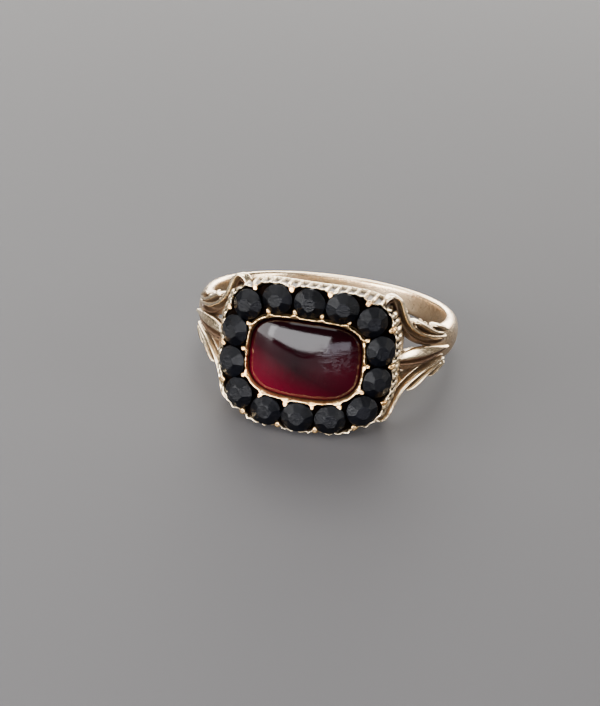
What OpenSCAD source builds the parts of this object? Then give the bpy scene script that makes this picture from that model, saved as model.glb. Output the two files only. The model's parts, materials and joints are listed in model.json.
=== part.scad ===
// Gold cluster ring lying on its side: a cushion-shaped garnet cabochon in a
// raised collet, fourteen small black stones around it in a ribbed bezel that
// curves with the finger, and three leaves on each shoulder.
// Millimetres. The origin is the centre of the finger hole. Before the ring is
// laid down, the bezel faces -Y and the finger hole runs along Z.

/* [Shank] */
// Inner radius of the finger hole
finger_radius = 8.5; // [7.5:0.1:10.5]
// Thickness of the shank at the middle of its section
shank_thickness = 1.05; // [0.8:0.05:1.6]
// Width of the shank at the back of the finger
shank_back_width = 1.7; // [1.3:0.1:3]
// Width of the shank where it meets the leaves
shank_front_width = 2.8; // [2:0.1:4]
// Radius of the rounded outer face across the shank
shank_dome_radius = 1.5; // [1.4:0.1:4]
// Angle from the middle of the bezel at which the shank ends
shank_end_angle = 63; // [56:1:70]

/* [Bezel] */
// Length of the bezel at its rim, around the finger
bezel_length = 12.6; // [11.8:0.1:14.5]
// Width of the bezel at its rim, along the finger
bezel_width = 10.5; // [9.9:0.1:12.5]
// Length of the bezel at its base
base_length = 12.3; // [11.5:0.1:14]
// Width of the bezel at its base
base_width = 9.6; // [9:0.1:12]
// Height of the bezel's face over the finger hole
bezel_height = 3.55; // [3:0.05:4.5]
// How far the lower edge of the wall stays clear of the finger
base_rise = 0.7; // [0.4:0.05:1.2]
// Height of the plain band along the lower edge of the wall
base_band = 0.25; // [0.1:0.05:0.5]
// How far the closed back is set in from the lower edge of the wall
back_inset = 0.5; // [0.3:0.05:1]
// How far the rim dips in between two black stones
rim_scallop = 0.1; // [0:0.01:0.15]
// Number of ribs around the wall
rib_count = 70; // [42:7:84]
// Depth of the grooves between the ribs
rib_depth = 0.14; // [0.05:0.01:0.2]

/* [Black stones] */
// Diameter of one black stone
stone_diameter = 2.08; // [1.6:0.02:2.1]
// Height of a stone's crown over its girdle
stone_crown = 0.4; // [0.2:0.05:0.6]
// Height of the girdle band
stone_girdle = 0.12; // [0.08:0.02:0.2]
// Depth of a stone's pavilion under its girdle
stone_pavilion = 0.5; // [0.3:0.05:0.6]
// Radius of the grain claws between the stones
claw_radius = 0.22; // [0.15:0.01:0.3]

/* [Garnet] */
// Length of the garnet around the finger
garnet_length = 7.6; // [6.6:0.1:7.7]
// Width of the garnet along the finger
garnet_width = 5.3; // [4.4:0.1:5.4]
// Height of the garnet from its flat back to its top
garnet_height = 2.1; // [1.6:0.05:2.4]
// How far the garnet's top stands over the bezel's face
garnet_stand = 0.3; // [0:0.05:0.6]
// Thickness of the collet wall around the garnet
collet_wall = 0.2; // [0.14:0.02:0.3]
// How far the collet's edge stands over the bezel's face
collet_stand = 0.14; // [0.05:0.01:0.3]
// Space around the garnet inside the collet
garnet_gap = 0.13; // [0.04:0.01:0.2]

/* [Leaves] */
// Width of a scroll leaf across its stem
scroll_width = 1.05; // [0.8:0.05:1.3]
// Width of the middle leaf where it is widest
middle_leaf_width = 1.95; // [1.4:0.05:2.4]
// Thickness of the leaves
leaf_thickness = 1.1; // [0.9:0.05:1.4]
// How far the leaves' tops rise towards the bezel
leaf_rise = 0.75; // [0.4:0.05:1]

/* [Fit] */
// Space left all round each black stone in its seat
seat_gap = 0.03; // [0.02:0.01:0.05]

/* [Hidden] */
stone_count = 14;
stone_names = [for (i = [1 : stone_count]) str("stone_", i < 10 ? "0" : "", i)];

// Cushion outlines are superellipses with this exponent
cushion_power = 3.4;
shank_radius = finger_radius + shank_thickness;
face_radius = finger_radius + bezel_height;
base_radius = finger_radius + base_rise;
rim_half_length = bezel_length / 2;
rim_half_width = bezel_width / 2;
stone_radius = stone_diameter / 2;
seat_radius = stone_radius + seat_gap;
// Width of the metal edge outside the stones
rim_edge = 0.16;
// Centre line of the row of stones
row_half_length = rim_half_length - stone_radius - rim_edge;
row_half_width = rim_half_width - stone_radius - rim_edge;
// Girdles lie just under the bezel's face
girdle_radius = face_radius - stone_girdle;
opening_half_length = garnet_length / 2 + garnet_gap;
opening_half_width = garnet_width / 2 + garnet_gap;
garnet_top = face_radius + garnet_stand;
garnet_back = garnet_top - garnet_height;
// How far the claws sit from the row's centre line, outside and inside it
claw_offset = 0.71 * stone_radius;
// Leaves start this far over the shank
leaf_start_rise = 0.25;
leaf_top_radius = shank_radius + leaf_start_rise;
// Half length of the leaning wall where the leaves meet it
meeting_half_length = rim_half_length
    + (base_length / 2 - rim_half_length) * (face_radius - leaf_top_radius) / (face_radius - base_radius);
// Angle by which the leaves' heads run into the wall
leaf_overlap_angle = 2.8;
// Length that a block keeps past the surface that trims it
spare = 0.2;

// The ring rests on the bezel's lower edge and on the shank's lower edge
touch_share = 0.3;
touch_half_width = cushion_width_at(touch_share) * base_width / 2;
touch_level = sqrt(pow(base_radius, 2) - pow(touch_share * base_length / 2, 2));
shank_touch_radius = shank_radius - shank_dome_radius
    + sqrt(pow(shank_dome_radius, 2) - pow(shank_back_width / 2, 2));
rest_tilt = atan((touch_half_width - shank_back_width / 2) / (touch_level + shank_touch_radius));

gold = [0.83, 0.69, 0.42];
garnet_red = [0.42, 0.02, 0.06];
stone_black = [0.07, 0.07, 0.08];

// Width share of a cushion outline at a share of its half length
function cushion_width_at(share) = pow(1 - pow(share, cushion_power), 1 / cushion_power);

function signed_power(value, power) = sign(value) * pow(abs(value), power);

function cushion_point(half_length, half_width, turn) = [
    half_length * signed_power(cos(turn), 2 / cushion_power),
    half_width * signed_power(sin(turn), 2 / cushion_power)
];

// Unit normal of the outline at a point on it
function cushion_normal(half_length, half_width, p) =
    let (g = [
        signed_power(p[0] / half_length, cushion_power - 1) / half_length,
        signed_power(p[1] / half_width, cushion_power - 1) / half_width
    ]) g / norm(g);

// Points at equal distances along a cushion outline, at the given shares of its length
function cushion_points(half_length, half_width, shares) =
    let (
        steps = 480,
        p = [for (i = [0 : steps]) cushion_point(half_length, half_width, 360 * i / steps)],
        gaps = [for (i = [1 : steps]) norm(p[i] - p[i - 1])],
        run = [
            for (i = 0, total = 0; i <= steps; total = total + (i < steps ? gaps[i] : 0), i = i + 1)
            [total, i]
        ],
        whole = run[steps][0]
    ) [for (share = shares)
        cushion_point(half_length, half_width, 360 * lookup(share * whole, run) / steps)];

// A point at an angle from the middle of the bezel, a height along the finger and a radius
function around_finger(angle, height, radius) = [radius * sin(angle), -radius * cos(angle), height];

function average(points, i = 0) =
    i == len(points) ? points[0] * 0 : points[i] / len(points) + average(points, i + 1);

// Catmull-Rom curve through the rows of a table, with t from 0 to 1
function curve(rows, t) =
    let (
        last = len(rows) - 1,
        place = min(t * last, last * (1 - 1e-6)),
        i = floor(place),
        f = place - i,
        p0 = rows[max(i - 1, 0)],
        p1 = rows[i],
        p2 = rows[i + 1],
        p3 = rows[min(i + 2, last)]
    ) (p1 * 2 + (p2 - p0) * f + (p0 * 2 - p1 * 5 + p2 * 4 - p3) * f * f
        + (p1 * 3 - p0 - p2 * 3 + p3) * f * f * f) / 2;

// Closed solid through rings of points, each with the same number of points. Seen
// along the way from the first ring to the last, the points turn clockwise.
module loft(rings) {
    n = len(rings[0]);
    m = len(rings);
    points = concat([for (ring = rings, p = ring) p], [average(rings[0]), average(rings[m - 1])]);
    faces = concat(
        [for (j = [0 : m - 2], i = [0 : n - 1]) [j * n + i, j * n + (i + 1) % n, (j + 1) * n + i]],
        [for (j = [0 : m - 2], i = [0 : n - 1])
            [j * n + (i + 1) % n, (j + 1) * n + (i + 1) % n, (j + 1) * n + i]],
        [for (i = [0 : n - 1]) [n * m, (i + 1) % n, i]],
        [for (i = [0 : n - 1]) [n * m + 1, (m - 1) * n + i, (m - 1) * n + (i + 1) % n]]
    );
    polyhedron(points, faces, convexity = 6);
}

// Turns what is drawn upwards so that it points outwards from the finger
module on_face(angle, height) {
    translate([0, 0, height]) rotate([0, 0, angle]) rotate([90, 0, 0]) children();
}

// Lays the whole ring down on its side
module laid_down() {
    rotate([-rest_tilt, 0, 0]) children();
}

// Shank

module shank_section() {
    intersection() {
        translate([shank_radius - shank_dome_radius, 0]) circle(r = shank_dome_radius, $fn = 64);
        translate([finger_radius - spare, -shank_front_width])
            square([shank_thickness + spare, 2 * shank_front_width]);
    }
}

module shank() {
    back = shank_radius;
    front = shank_radius * cos(shank_end_angle);
    slope = (shank_front_width - shank_back_width) / 2 / (back + front);
    intersection() {
        rotate([0, 0, shank_end_angle - 90])
            rotate_extrude(angle = 360 - 2 * shank_end_angle, $fn = 180) shank_section();
        rotate([90, 0, 90]) linear_extrude(2 * shank_radius + 2, center = true) polygon([
            [back + 1, shank_back_width / 2 - slope],
            [-front - 1, shank_front_width / 2 + slope],
            [-front - 1, -shank_front_width / 2 - slope],
            [back + 1, -shank_back_width / 2 + slope]
        ]);
    }
}

// Bezel

// Ring of points around the ribbed wall at a level over the finger's middle. Each
// rib starts at the bottom of a groove, and the ring dips between the stones.
function rib_ring(level, half_length, half_width, dip) =
    let (
        shares = [for (k = [0 : rib_count - 1], share = [0.02, 0.34, 0.7]) (k + share) / rib_count],
        outline = cushion_points(half_length, half_width, shares)
    ) [for (i = [0 : len(outline) - 1])
        let (
            p = outline[i],
            groove = i % 3 == 0 ? rib_depth : 0,
            between_stones = (1 + cos(360 * stone_count * shares[i])) / 2,
            q = p - (groove + dip * between_stones) * cushion_normal(half_length, half_width, p)
        ) [q[0], -level, q[1]]];

// A cylinder around the finger, long enough to pass the whole bezel
module finger_cylinder(radius) {
    cylinder(r = radius, h = 2 * bezel_width, center = true, $fn = 180);
}

// Upright block with a cushion outline, from a level over the finger's middle outwards
module cushion(half_length, half_width, level, height) {
    translate([0, -level, 0]) rotate([90, 0, 0]) linear_extrude(height)
        polygon(cushion_points(half_length, half_width, [for (i = [0 : 55]) i / 56]));
}

module ribbed_wall() {
    top_level = face_radius + spare;
    bottom_level = sqrt(pow(base_radius, 2) - pow(base_length / 2, 2)) - spare;
    band_stand = 0.02;
    intersection() {
        loft([
            rib_ring(top_level, rim_half_length, rim_half_width, rim_scallop),
            rib_ring(bottom_level, base_length / 2, base_width / 2, 0)
        ]);
        finger_cylinder(face_radius);
    }
    intersection() {
        cushion(base_length / 2 + band_stand, base_width / 2 + band_stand, bottom_level, finger_radius);
        finger_cylinder(base_radius + base_band);
    }
}

// The closed back is smaller than the wall and reaches the finger
module closed_back() {
    intersection() {
        cushion(
            base_length / 2 - back_inset, base_width / 2 - back_inset,
            finger_radius / 2, finger_radius
        );
        finger_cylinder(base_radius + base_band);
    }
}

module bezel_body() {
    difference() {
        ribbed_wall();
        finger_cylinder(base_radius);
    }
    closed_back();
}

module collet() {
    intersection() {
        cushion(
            opening_half_length + collet_wall, opening_half_width + collet_wall,
            garnet_back - collet_wall, finger_radius
        );
        finger_cylinder(face_radius + collet_stand);
    }
}

module garnet_recess() {
    cushion(opening_half_length, opening_half_width, garnet_back - seat_gap, finger_radius);
}

// Middles of the stones as shares of the row's length, starting beside the shoulder
stone_shares = [for (i = [0 : stone_count - 1]) (i + 0.5) / stone_count];
claw_shares = [for (i = [0 : stone_count - 1]) i / stone_count];

// Angle and height on the curved face of a point on the flat cushion outline
function face_place(p) = [asin(p[0] / face_radius), p[1]];

stone_places = [for (p = cushion_points(row_half_length, row_half_width, stone_shares)) face_place(p)];

module claws(offset_from_row) {
    half_length = row_half_length + offset_from_row;
    half_width = row_half_width + offset_from_row;
    for (p = cushion_points(half_length, half_width, claw_shares)) {
        place = face_place(p);
        translate(around_finger(place[0], place[1], face_radius - claw_radius / 10))
            sphere(r = claw_radius, $fn = 24);
    }
}

module stone_seat() {
    floor_share = 0.45;
    cone_height = stone_pavilion + seat_gap;
    translate([0, 0, girdle_radius - seat_gap]) {
        cylinder(r = seat_radius, h = bezel_height, $fn = 48);
        translate([0, 0, -cone_height])
            cylinder(r1 = seat_radius * floor_share, r2 = seat_radius, h = cone_height, $fn = 48);
    }
}

module stone_seats() {
    for (place = stone_places) on_face(place[0], place[1]) stone_seat();
}

// Leaves

// Section of a scroll leaf: shares across and up, with a groove between two ridges
scroll_section = [
    [-1, 0.45], [-0.72, 0.95], [-0.4, 0.86], [-0.05, 0.62], [0.3, 0.84],
    [0.66, 1], [1, 0.6], [0.9, 0.12], [0, 0], [-0.9, 0.08]
];
// Section of the middle leaf: two rounded halves with a vein between them
middle_section = [
    [-1, 0.55], [-0.62, 0.9], [-0.12, 0.94], [0, 0.8], [0.14, 0.98],
    [0.6, 0.93], [1, 0.55], [0.8, 0.05], [0, 0], [-0.8, 0.05]
];
// Rows: angle share from shank to bezel, height share, width share, rise share, thickness share
scroll_rows = [
    [-0.2, 0.13, 0.5, 0, 0.8], [0.12, 0.14, 0.9, 0.1, 1], [0.45, 0.19, 1.05, 0.3, 1.02],
    [0.74, 0.3, 1.1, 0.55, 1], [0.93, 0.45, 1.1, 0.75, 0.98], [1.04, 0.62, 1, 0.9, 0.95],
    [1.1, 0.75, 0.85, 1, 0.92], [1.18, 0.825, 0.62, 1.05, 0.85], [1.27, 0.8, 0.5, 1.05, 0.8],
    [1.32, 0.73, 0.35, 1, 0.75]
];
lobe_rows = [
    [-0.12, 0.18, 0.6, 0, 0.8], [0.16, 0.21, 0.9, 0.1, 0.95], [0.4, 0.29, 0.95, 0.25, 1],
    [0.6, 0.38, 0.8, 0.4, 0.95], [0.72, 0.42, 0.4, 0.42, 0.7]
];
bud_rows = [
    [-0.25, 0.19, 0.8, -0.1, 0.8], [-0.05, 0.25, 1, -0.05, 0.9], [0.12, 0.31, 0.8, 0, 0.85],
    [0.22, 0.335, 0.35, 0, 0.6]
];
middle_rows = [
    [-0.25, 0, 0.12, 0.1, 0.85], [0, 0, 0.4, 0.2, 0.95], [0.3, 0, 0.8, 0.5, 1.05],
    [0.62, 0, 1, 0.8, 1.1], [0.86, 0, 0.88, 0.95, 1.1], [1.02, 0, 0.58, 1, 1.05]
];

// Rings of points along a leaf laid around the finger
function leaf_rings(rows, section, width, count) =
    let (
        wall_angle = asin(meeting_half_length / leaf_top_radius) - leaf_overlap_angle,
        span = wall_angle - shank_end_angle,
        height_unit = rim_half_width
    ) [for (j = [0 : count])
        let (
            t = j / count,
            row = curve(rows, t),
            before = curve(rows, max(t - 0.02, 0)),
            after = curve(rows, min(t + 0.02, 1)),
            top = leaf_top_radius + leaf_rise * row[3],
            run = [(after[0] - before[0]) * span * PI / 180 * top, (after[1] - before[1]) * height_unit],
            side = [-run[1], run[0]] / norm(run),
            half = width / 2 * row[2],
            base = max(top - leaf_thickness * row[4], finger_radius - spare / 2)
        ) [for (p = section)
            around_finger(
                shank_end_angle + span * row[0] + p[0] * half * side[0] / top * 180 / PI,
                row[1] * height_unit + p[0] * half * side[1],
                base + (top - base) * p[1]
            )]];

module scroll_leaf() {
    loft(leaf_rings(scroll_rows, scroll_section, scroll_width, 24));
    loft(leaf_rings(lobe_rows, scroll_section, 0.95 * scroll_width, 10));
    loft(leaf_rings(bud_rows, scroll_section, 0.8 * scroll_width, 6));
}

module middle_leaf() {
    loft(leaf_rings(middle_rows, middle_section, middle_leaf_width, 12));
}

module shoulder() {
    middle_leaf();
    for (side = [0, 1]) mirror([0, 0, side]) scroll_leaf();
}

// The gold is one soldered piece
module ring_mount() {
    color(gold) laid_down() difference() {
        union() {
            shank();
            for (side = [0, 1]) mirror([side, 0, 0]) shoulder();
            bezel_body();
            collet();
            claws(claw_offset);
            claws(-claw_offset);
        }
        finger_cylinder(finger_radius);
        garnet_recess();
        stone_seats();
    }
}

// Garnet

// How far the bezel's face has fallen away at a distance from its middle
function sag(x) = face_radius - sqrt(pow(face_radius, 2) - pow(x, 2));

// A domed cushion that follows the curve of the bezel's face
module garnet() {
    outline_steps = 48;
    outline = [for (i = [0 : outline_steps - 1])
        cushion_point(garnet_length / 2, garnet_width / 2, 360 * i / outline_steps)];
    // Height share of the upright side under the dome
    side_share = 0.42;
    // Under one, so that the dome is a little fuller than an ellipse
    dome_power = 0.85;
    side_height = side_share * garnet_height;
    dome_height = garnet_height - side_height;
    dome_turns = [78, 67, 55, 42, 28, 14, 0];
    rings = concat(
        [for (turn = dome_turns)
            let (
                share = pow(cos(turn), dome_power),
                level = garnet_back + side_height + dome_height * pow(sin(turn), dome_power)
            ) [for (p = outline * share) [p[0], p[1], level - sag(p[0])]]],
        [[for (p = outline) [p[0], p[1], garnet_back]]]
    );
    color(garnet_red) laid_down() rotate([90, 0, 0]) loft(rings);
}

// Black stones

function stone_ring(count, radius, level) =
    [for (i = [0 : count - 1]) [radius * cos(360 * i / count), radius * sin(360 * i / count), level]];

// A round stone with an eight-sided table, pointed facets round it and a small flat culet
module cut_stone() {
    table_share = 0.52;
    culet_share = 0.3;
    culet_level = -stone_girdle - stone_pavilion + 2 * seat_gap;
    table = stone_ring(8, table_share * stone_radius, stone_crown);
    girdle_top = stone_ring(16, stone_radius, 0);
    girdle_base = stone_ring(16, stone_radius, -stone_girdle);
    culet = stone_ring(8, culet_share * stone_radius, culet_level);
    points = concat(table, girdle_top, girdle_base, culet);
    faces = concat(
        [[for (i = [7 : -1 : 0]) i], [for (i = [0 : 7]) 40 + i]],
        [for (i = [0 : 7]) [i, (i + 1) % 8, 8 + 2 * i + 1]],
        [for (i = [0 : 7]) [i, 8 + 2 * i + 1, 8 + 2 * i]],
        [for (i = [0 : 7]) [i, 8 + 2 * i, 8 + (2 * i + 15) % 16]],
        [for (i = [0 : 15]) [8 + i, 8 + (i + 1) % 16, 24 + (i + 1) % 16, 24 + i]],
        [for (i = [0 : 7]) [24 + 2 * i, 24 + 2 * i + 1, 40 + i]],
        [for (i = [0 : 7]) [24 + 2 * i + 1, 40 + (i + 1) % 8, 40 + i]],
        [for (i = [0 : 7]) [24 + 2 * i + 1, 24 + (2 * i + 2) % 16, 40 + (i + 1) % 8]]
    );
    polyhedron(points, faces);
}

module black_stone(place) {
    color(stone_black) laid_down() on_face(place[0], place[1])
        translate([0, 0, face_radius]) cut_stone();
}

ring_mount();
garnet();
for (i = [0 : stone_count - 1]) {
    black_stone(stone_places[i]);
}
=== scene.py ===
import json
import logging
import math
import random
from bisect import bisect_left
from dataclasses import dataclass, field
from enum import Enum
from typing import Callable, Iterable, Sequence

import bmesh
import bpy
from mathutils import Matrix, Vector


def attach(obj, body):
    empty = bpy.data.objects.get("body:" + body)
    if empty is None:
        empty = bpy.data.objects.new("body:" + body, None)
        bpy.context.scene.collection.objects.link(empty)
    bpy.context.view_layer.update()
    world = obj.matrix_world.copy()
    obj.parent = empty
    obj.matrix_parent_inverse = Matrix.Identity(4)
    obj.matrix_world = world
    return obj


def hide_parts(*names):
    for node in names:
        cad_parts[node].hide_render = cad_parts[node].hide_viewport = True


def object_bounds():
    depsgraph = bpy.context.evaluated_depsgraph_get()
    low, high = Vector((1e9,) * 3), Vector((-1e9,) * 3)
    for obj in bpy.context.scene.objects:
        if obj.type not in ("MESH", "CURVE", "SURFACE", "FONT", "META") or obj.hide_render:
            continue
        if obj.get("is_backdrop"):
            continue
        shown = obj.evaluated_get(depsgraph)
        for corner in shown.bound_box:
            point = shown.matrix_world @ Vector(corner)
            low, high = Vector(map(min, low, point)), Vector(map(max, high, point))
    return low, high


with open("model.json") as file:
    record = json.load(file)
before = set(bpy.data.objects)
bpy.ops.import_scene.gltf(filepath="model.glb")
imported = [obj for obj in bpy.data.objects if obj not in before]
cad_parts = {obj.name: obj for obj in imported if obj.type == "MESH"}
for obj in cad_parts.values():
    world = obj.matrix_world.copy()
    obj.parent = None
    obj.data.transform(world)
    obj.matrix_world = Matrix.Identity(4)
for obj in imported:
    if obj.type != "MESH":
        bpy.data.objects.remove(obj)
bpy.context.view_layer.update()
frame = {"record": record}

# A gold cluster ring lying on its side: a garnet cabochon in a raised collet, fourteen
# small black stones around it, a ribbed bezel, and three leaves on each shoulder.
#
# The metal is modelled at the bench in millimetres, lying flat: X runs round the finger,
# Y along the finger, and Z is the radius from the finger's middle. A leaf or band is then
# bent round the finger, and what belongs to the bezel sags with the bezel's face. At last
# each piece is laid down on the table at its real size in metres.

LOG = logging.getLogger("ring")

MILLIMETRE = 0.001
CUSHION_POWER = 3.4
BODY = "root"
# Name of the point attribute that marks painted shade on the metal
PAINTED_SHADE = "paint_shade"

Piece = bpy.types.Object
Socket = bpy.types.NodeSocket
Material = bpy.types.Material
Test = Callable[[Vector], bool]
Pair = tuple[float, float]
Colour = tuple[float, float, float]
Shares = tuple[float, ...]


def tilt_from_record() -> float:
    """Angle by which the ring is laid down, from the finger hole's axis.

    Returns:
        The angle in radians.
    """
    axis = frame["record"]["mounts"][0]["axis"]
    return math.atan2(axis[1], axis[2])


class Side(Enum):
    """Which shoulder a leaf belongs to."""

    RIGHT = 1
    LEFT = -1


class Edge(Enum):
    """Which edge of the shoulder a scroll leaf follows."""

    UPPER = 1
    LOWER = -1


class Slot(Enum):
    """Material slots of the record."""

    GOLD = "gold"
    GARNET = "garnet"
    STONE = "black_stone"


@dataclass(frozen=True)
class RingSizes:
    """Sizes in millimetres that several pieces of the ring share."""

    finger_radius: float = 8.5
    shank_radius: float = 9.55
    shank_end: float = 63.0
    face_radius: float = 12.05
    base_radius: float = 9.2
    rim_half_length: float = 6.3
    rim_half_width: float = 5.25
    base_half_length: float = 6.15
    base_half_width: float = 4.8
    rim_edge: float = 0.16
    stone_radius: float = 1.04
    stone_count: int = 14
    claw_offset: float = 0.74
    garnet_half_length: float = 3.8
    garnet_half_width: float = 2.65
    garnet_back: float = 10.25
    garnet_top: float = 12.35
    garnet_gap: float = 0.13
    collet_wall: float = 0.2
    collet_stand: float = 0.14
    leaf_end: float = 36.3
    leaf_stand: float = 0.25
    leaf_rise: float = 0.75
    leaf_thickness: float = 1.1
    rim_level: float = 11.91
    rim_drawn_in: Pair = (0.2, 0.08)
    tilt: float = field(default_factory=tilt_from_record)
    # Each stone's length along the row and width across it, as shares of the usual size
    stone_spans: tuple[Pair, ...] = (
        (1.05, 1.0), (1.04, 1.03), (1.1, 1.03), (1.05, 1.0), (1.04, 1.0), (1.08, 1.0), (1.07, 1.0),
        (1.06, 1.0), (1.07, 1.0), (1.06, 1.0), (1.1, 0.99), (1.05, 0.98), (1.08, 1.02), (1.05, 1.0),
    )

    def stone_middles(self) -> list[Pair]:
        """Middles of the stones on the face's flat plan.

        Returns:
            One place for each stone.
        """
        shares = [(i + 0.5) / self.stone_count for i in range(self.stone_count)]
        return cushion_places(self.row_half(), shares)

    def row_direction(self, number: int) -> float:
        """Direction of the row at a stone.

        Args:
            number: The stone's number, from 0.

        Returns:
            The angle on the flat plan in radians.
        """
        share = (number + 0.5) / self.stone_count
        before, after = cushion_places(self.row_half(), [(share - 0.02) % 1, (share + 0.02) % 1])
        return math.atan2(after[1] - before[1], after[0] - before[0])

    def claw_places(self, offset: float) -> list[tuple[Pair, Pair]]:
        """Places between neighbouring stones, beside their centre line.

        Args:
            offset: Distance from the centre line, positive outwards.

        Returns:
            The place and the direction outwards between each two stones.
        """
        shares = [i / self.stone_count for i in range(self.stone_count)]
        half = (self.row_half()[0] + offset, self.row_half()[1] + offset)
        result = []
        middles = cushion_places(self.row_half(), shares)
        for place, middle in zip(cushion_places(half, shares), middles):
            away = Vector(place) - Vector(middle)
            away = away.normalized() * math.copysign(1, offset)
            result.append((place, (away.x, away.y)))
        return result

    def row_half(self) -> Pair:
        """Half length and half width of the stones' centre line.

        Returns:
            The two half sizes in millimetres.
        """
        inset = self.stone_radius + self.rim_edge
        return self.rim_half_length - inset, self.rim_half_width - inset

    def rim_half(self) -> Pair:
        """Half length and half width of the rim, which the stones overlap.

        Returns:
            The two half sizes in millimetres.
        """
        inset = self.rim_drawn_in
        return self.rim_half_length - inset[0], self.rim_half_width - inset[1]

    def opening_half(self) -> Pair:
        """Half length and half width of the opening for the garnet.

        Returns:
            The two half sizes in millimetres.
        """
        return self.garnet_half_length + self.garnet_gap, self.garnet_half_width + self.garnet_gap

    def leaf_place(self, share: float) -> float:
        """Place on the flat bench at a share of the way from the shank to the bezel.

        Args:
            share: The share.

        Returns:
            The distance along X.
        """
        angle = self.shank_end + (self.leaf_end - self.shank_end) * share
        return math.radians(angle) * FingerWrap().radius

    def leaf_levels(self, rise: float, thickness: float) -> Pair:
        """Levels of a leaf at one place.

        Args:
            rise: Share of the leaf's full rise.
            thickness: Share of its full thickness.

        Returns:
            The level of its back and that of its face.
        """
        top = self.shank_radius + self.leaf_stand + self.leaf_rise * rise
        return max(top - self.leaf_thickness * thickness, self.finger_radius), top


def cushion_point(half: Pair, turn: float) -> Pair:
    """A point on a cushion outline.

    Args:
        half: Half length and half width.
        turn: The outline's own angle in radians.

    Returns:
        The point's two coordinates.
    """
    c, s = math.cos(turn), math.sin(turn)
    power = 2 / CUSHION_POWER
    return (
        math.copysign(abs(c) ** power, c) * half[0],
        math.copysign(abs(s) ** power, s) * half[1],
    )


def cushion_places(half: Pair, shares: Sequence[float]) -> list[Pair]:
    """Points along a cushion outline at shares of its length.

    Args:
        half: Half length and half width.
        shares: Shares of the outline's length, from the middle of the right end.

    Returns:
        One point for each share.
    """
    steps = 1440
    points = [cushion_point(half, math.tau * i / steps) for i in range(steps + 1)]
    run = [0.0]
    for a, b in zip(points, points[1:]):
        run.append(run[-1] + math.dist(a, b))
    result = []
    for share in shares:
        wanted = share * run[-1]
        after = min(max(bisect_left(run, wanted), 1), steps)
        part = (wanted - run[after - 1]) / (run[after] - run[after - 1])
        (x0, y0), (x1, y1) = points[after - 1], points[after]
        result.append((x0 + part * (x1 - x0), y0 + part * (y1 - y0)))
    return result


def curve(rows: Sequence[Shares], t: float) -> Shares:
    """Smooth curve through rows of numbers.

    Args:
        rows: The rows that the curve passes through.
        t: Place along the curve, from 0 to 1.

    Returns:
        The row at that place.
    """
    last = len(rows) - 1
    place = min(max(t, 0.0) * last, last - 1e-6)
    i = int(place)
    f = place - i
    result = []
    for a, b, c, d in zip(rows[max(i - 1, 0)], rows[i], rows[i + 1], rows[min(i + 2, last)]):
        square, cube = 2 * a - 5 * b + 4 * c - d, 3 * b - a - 3 * c + d
        result.append((2 * b + (c - a) * f + square * f * f + cube * f**3) / 2)
    return tuple(result)


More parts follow.
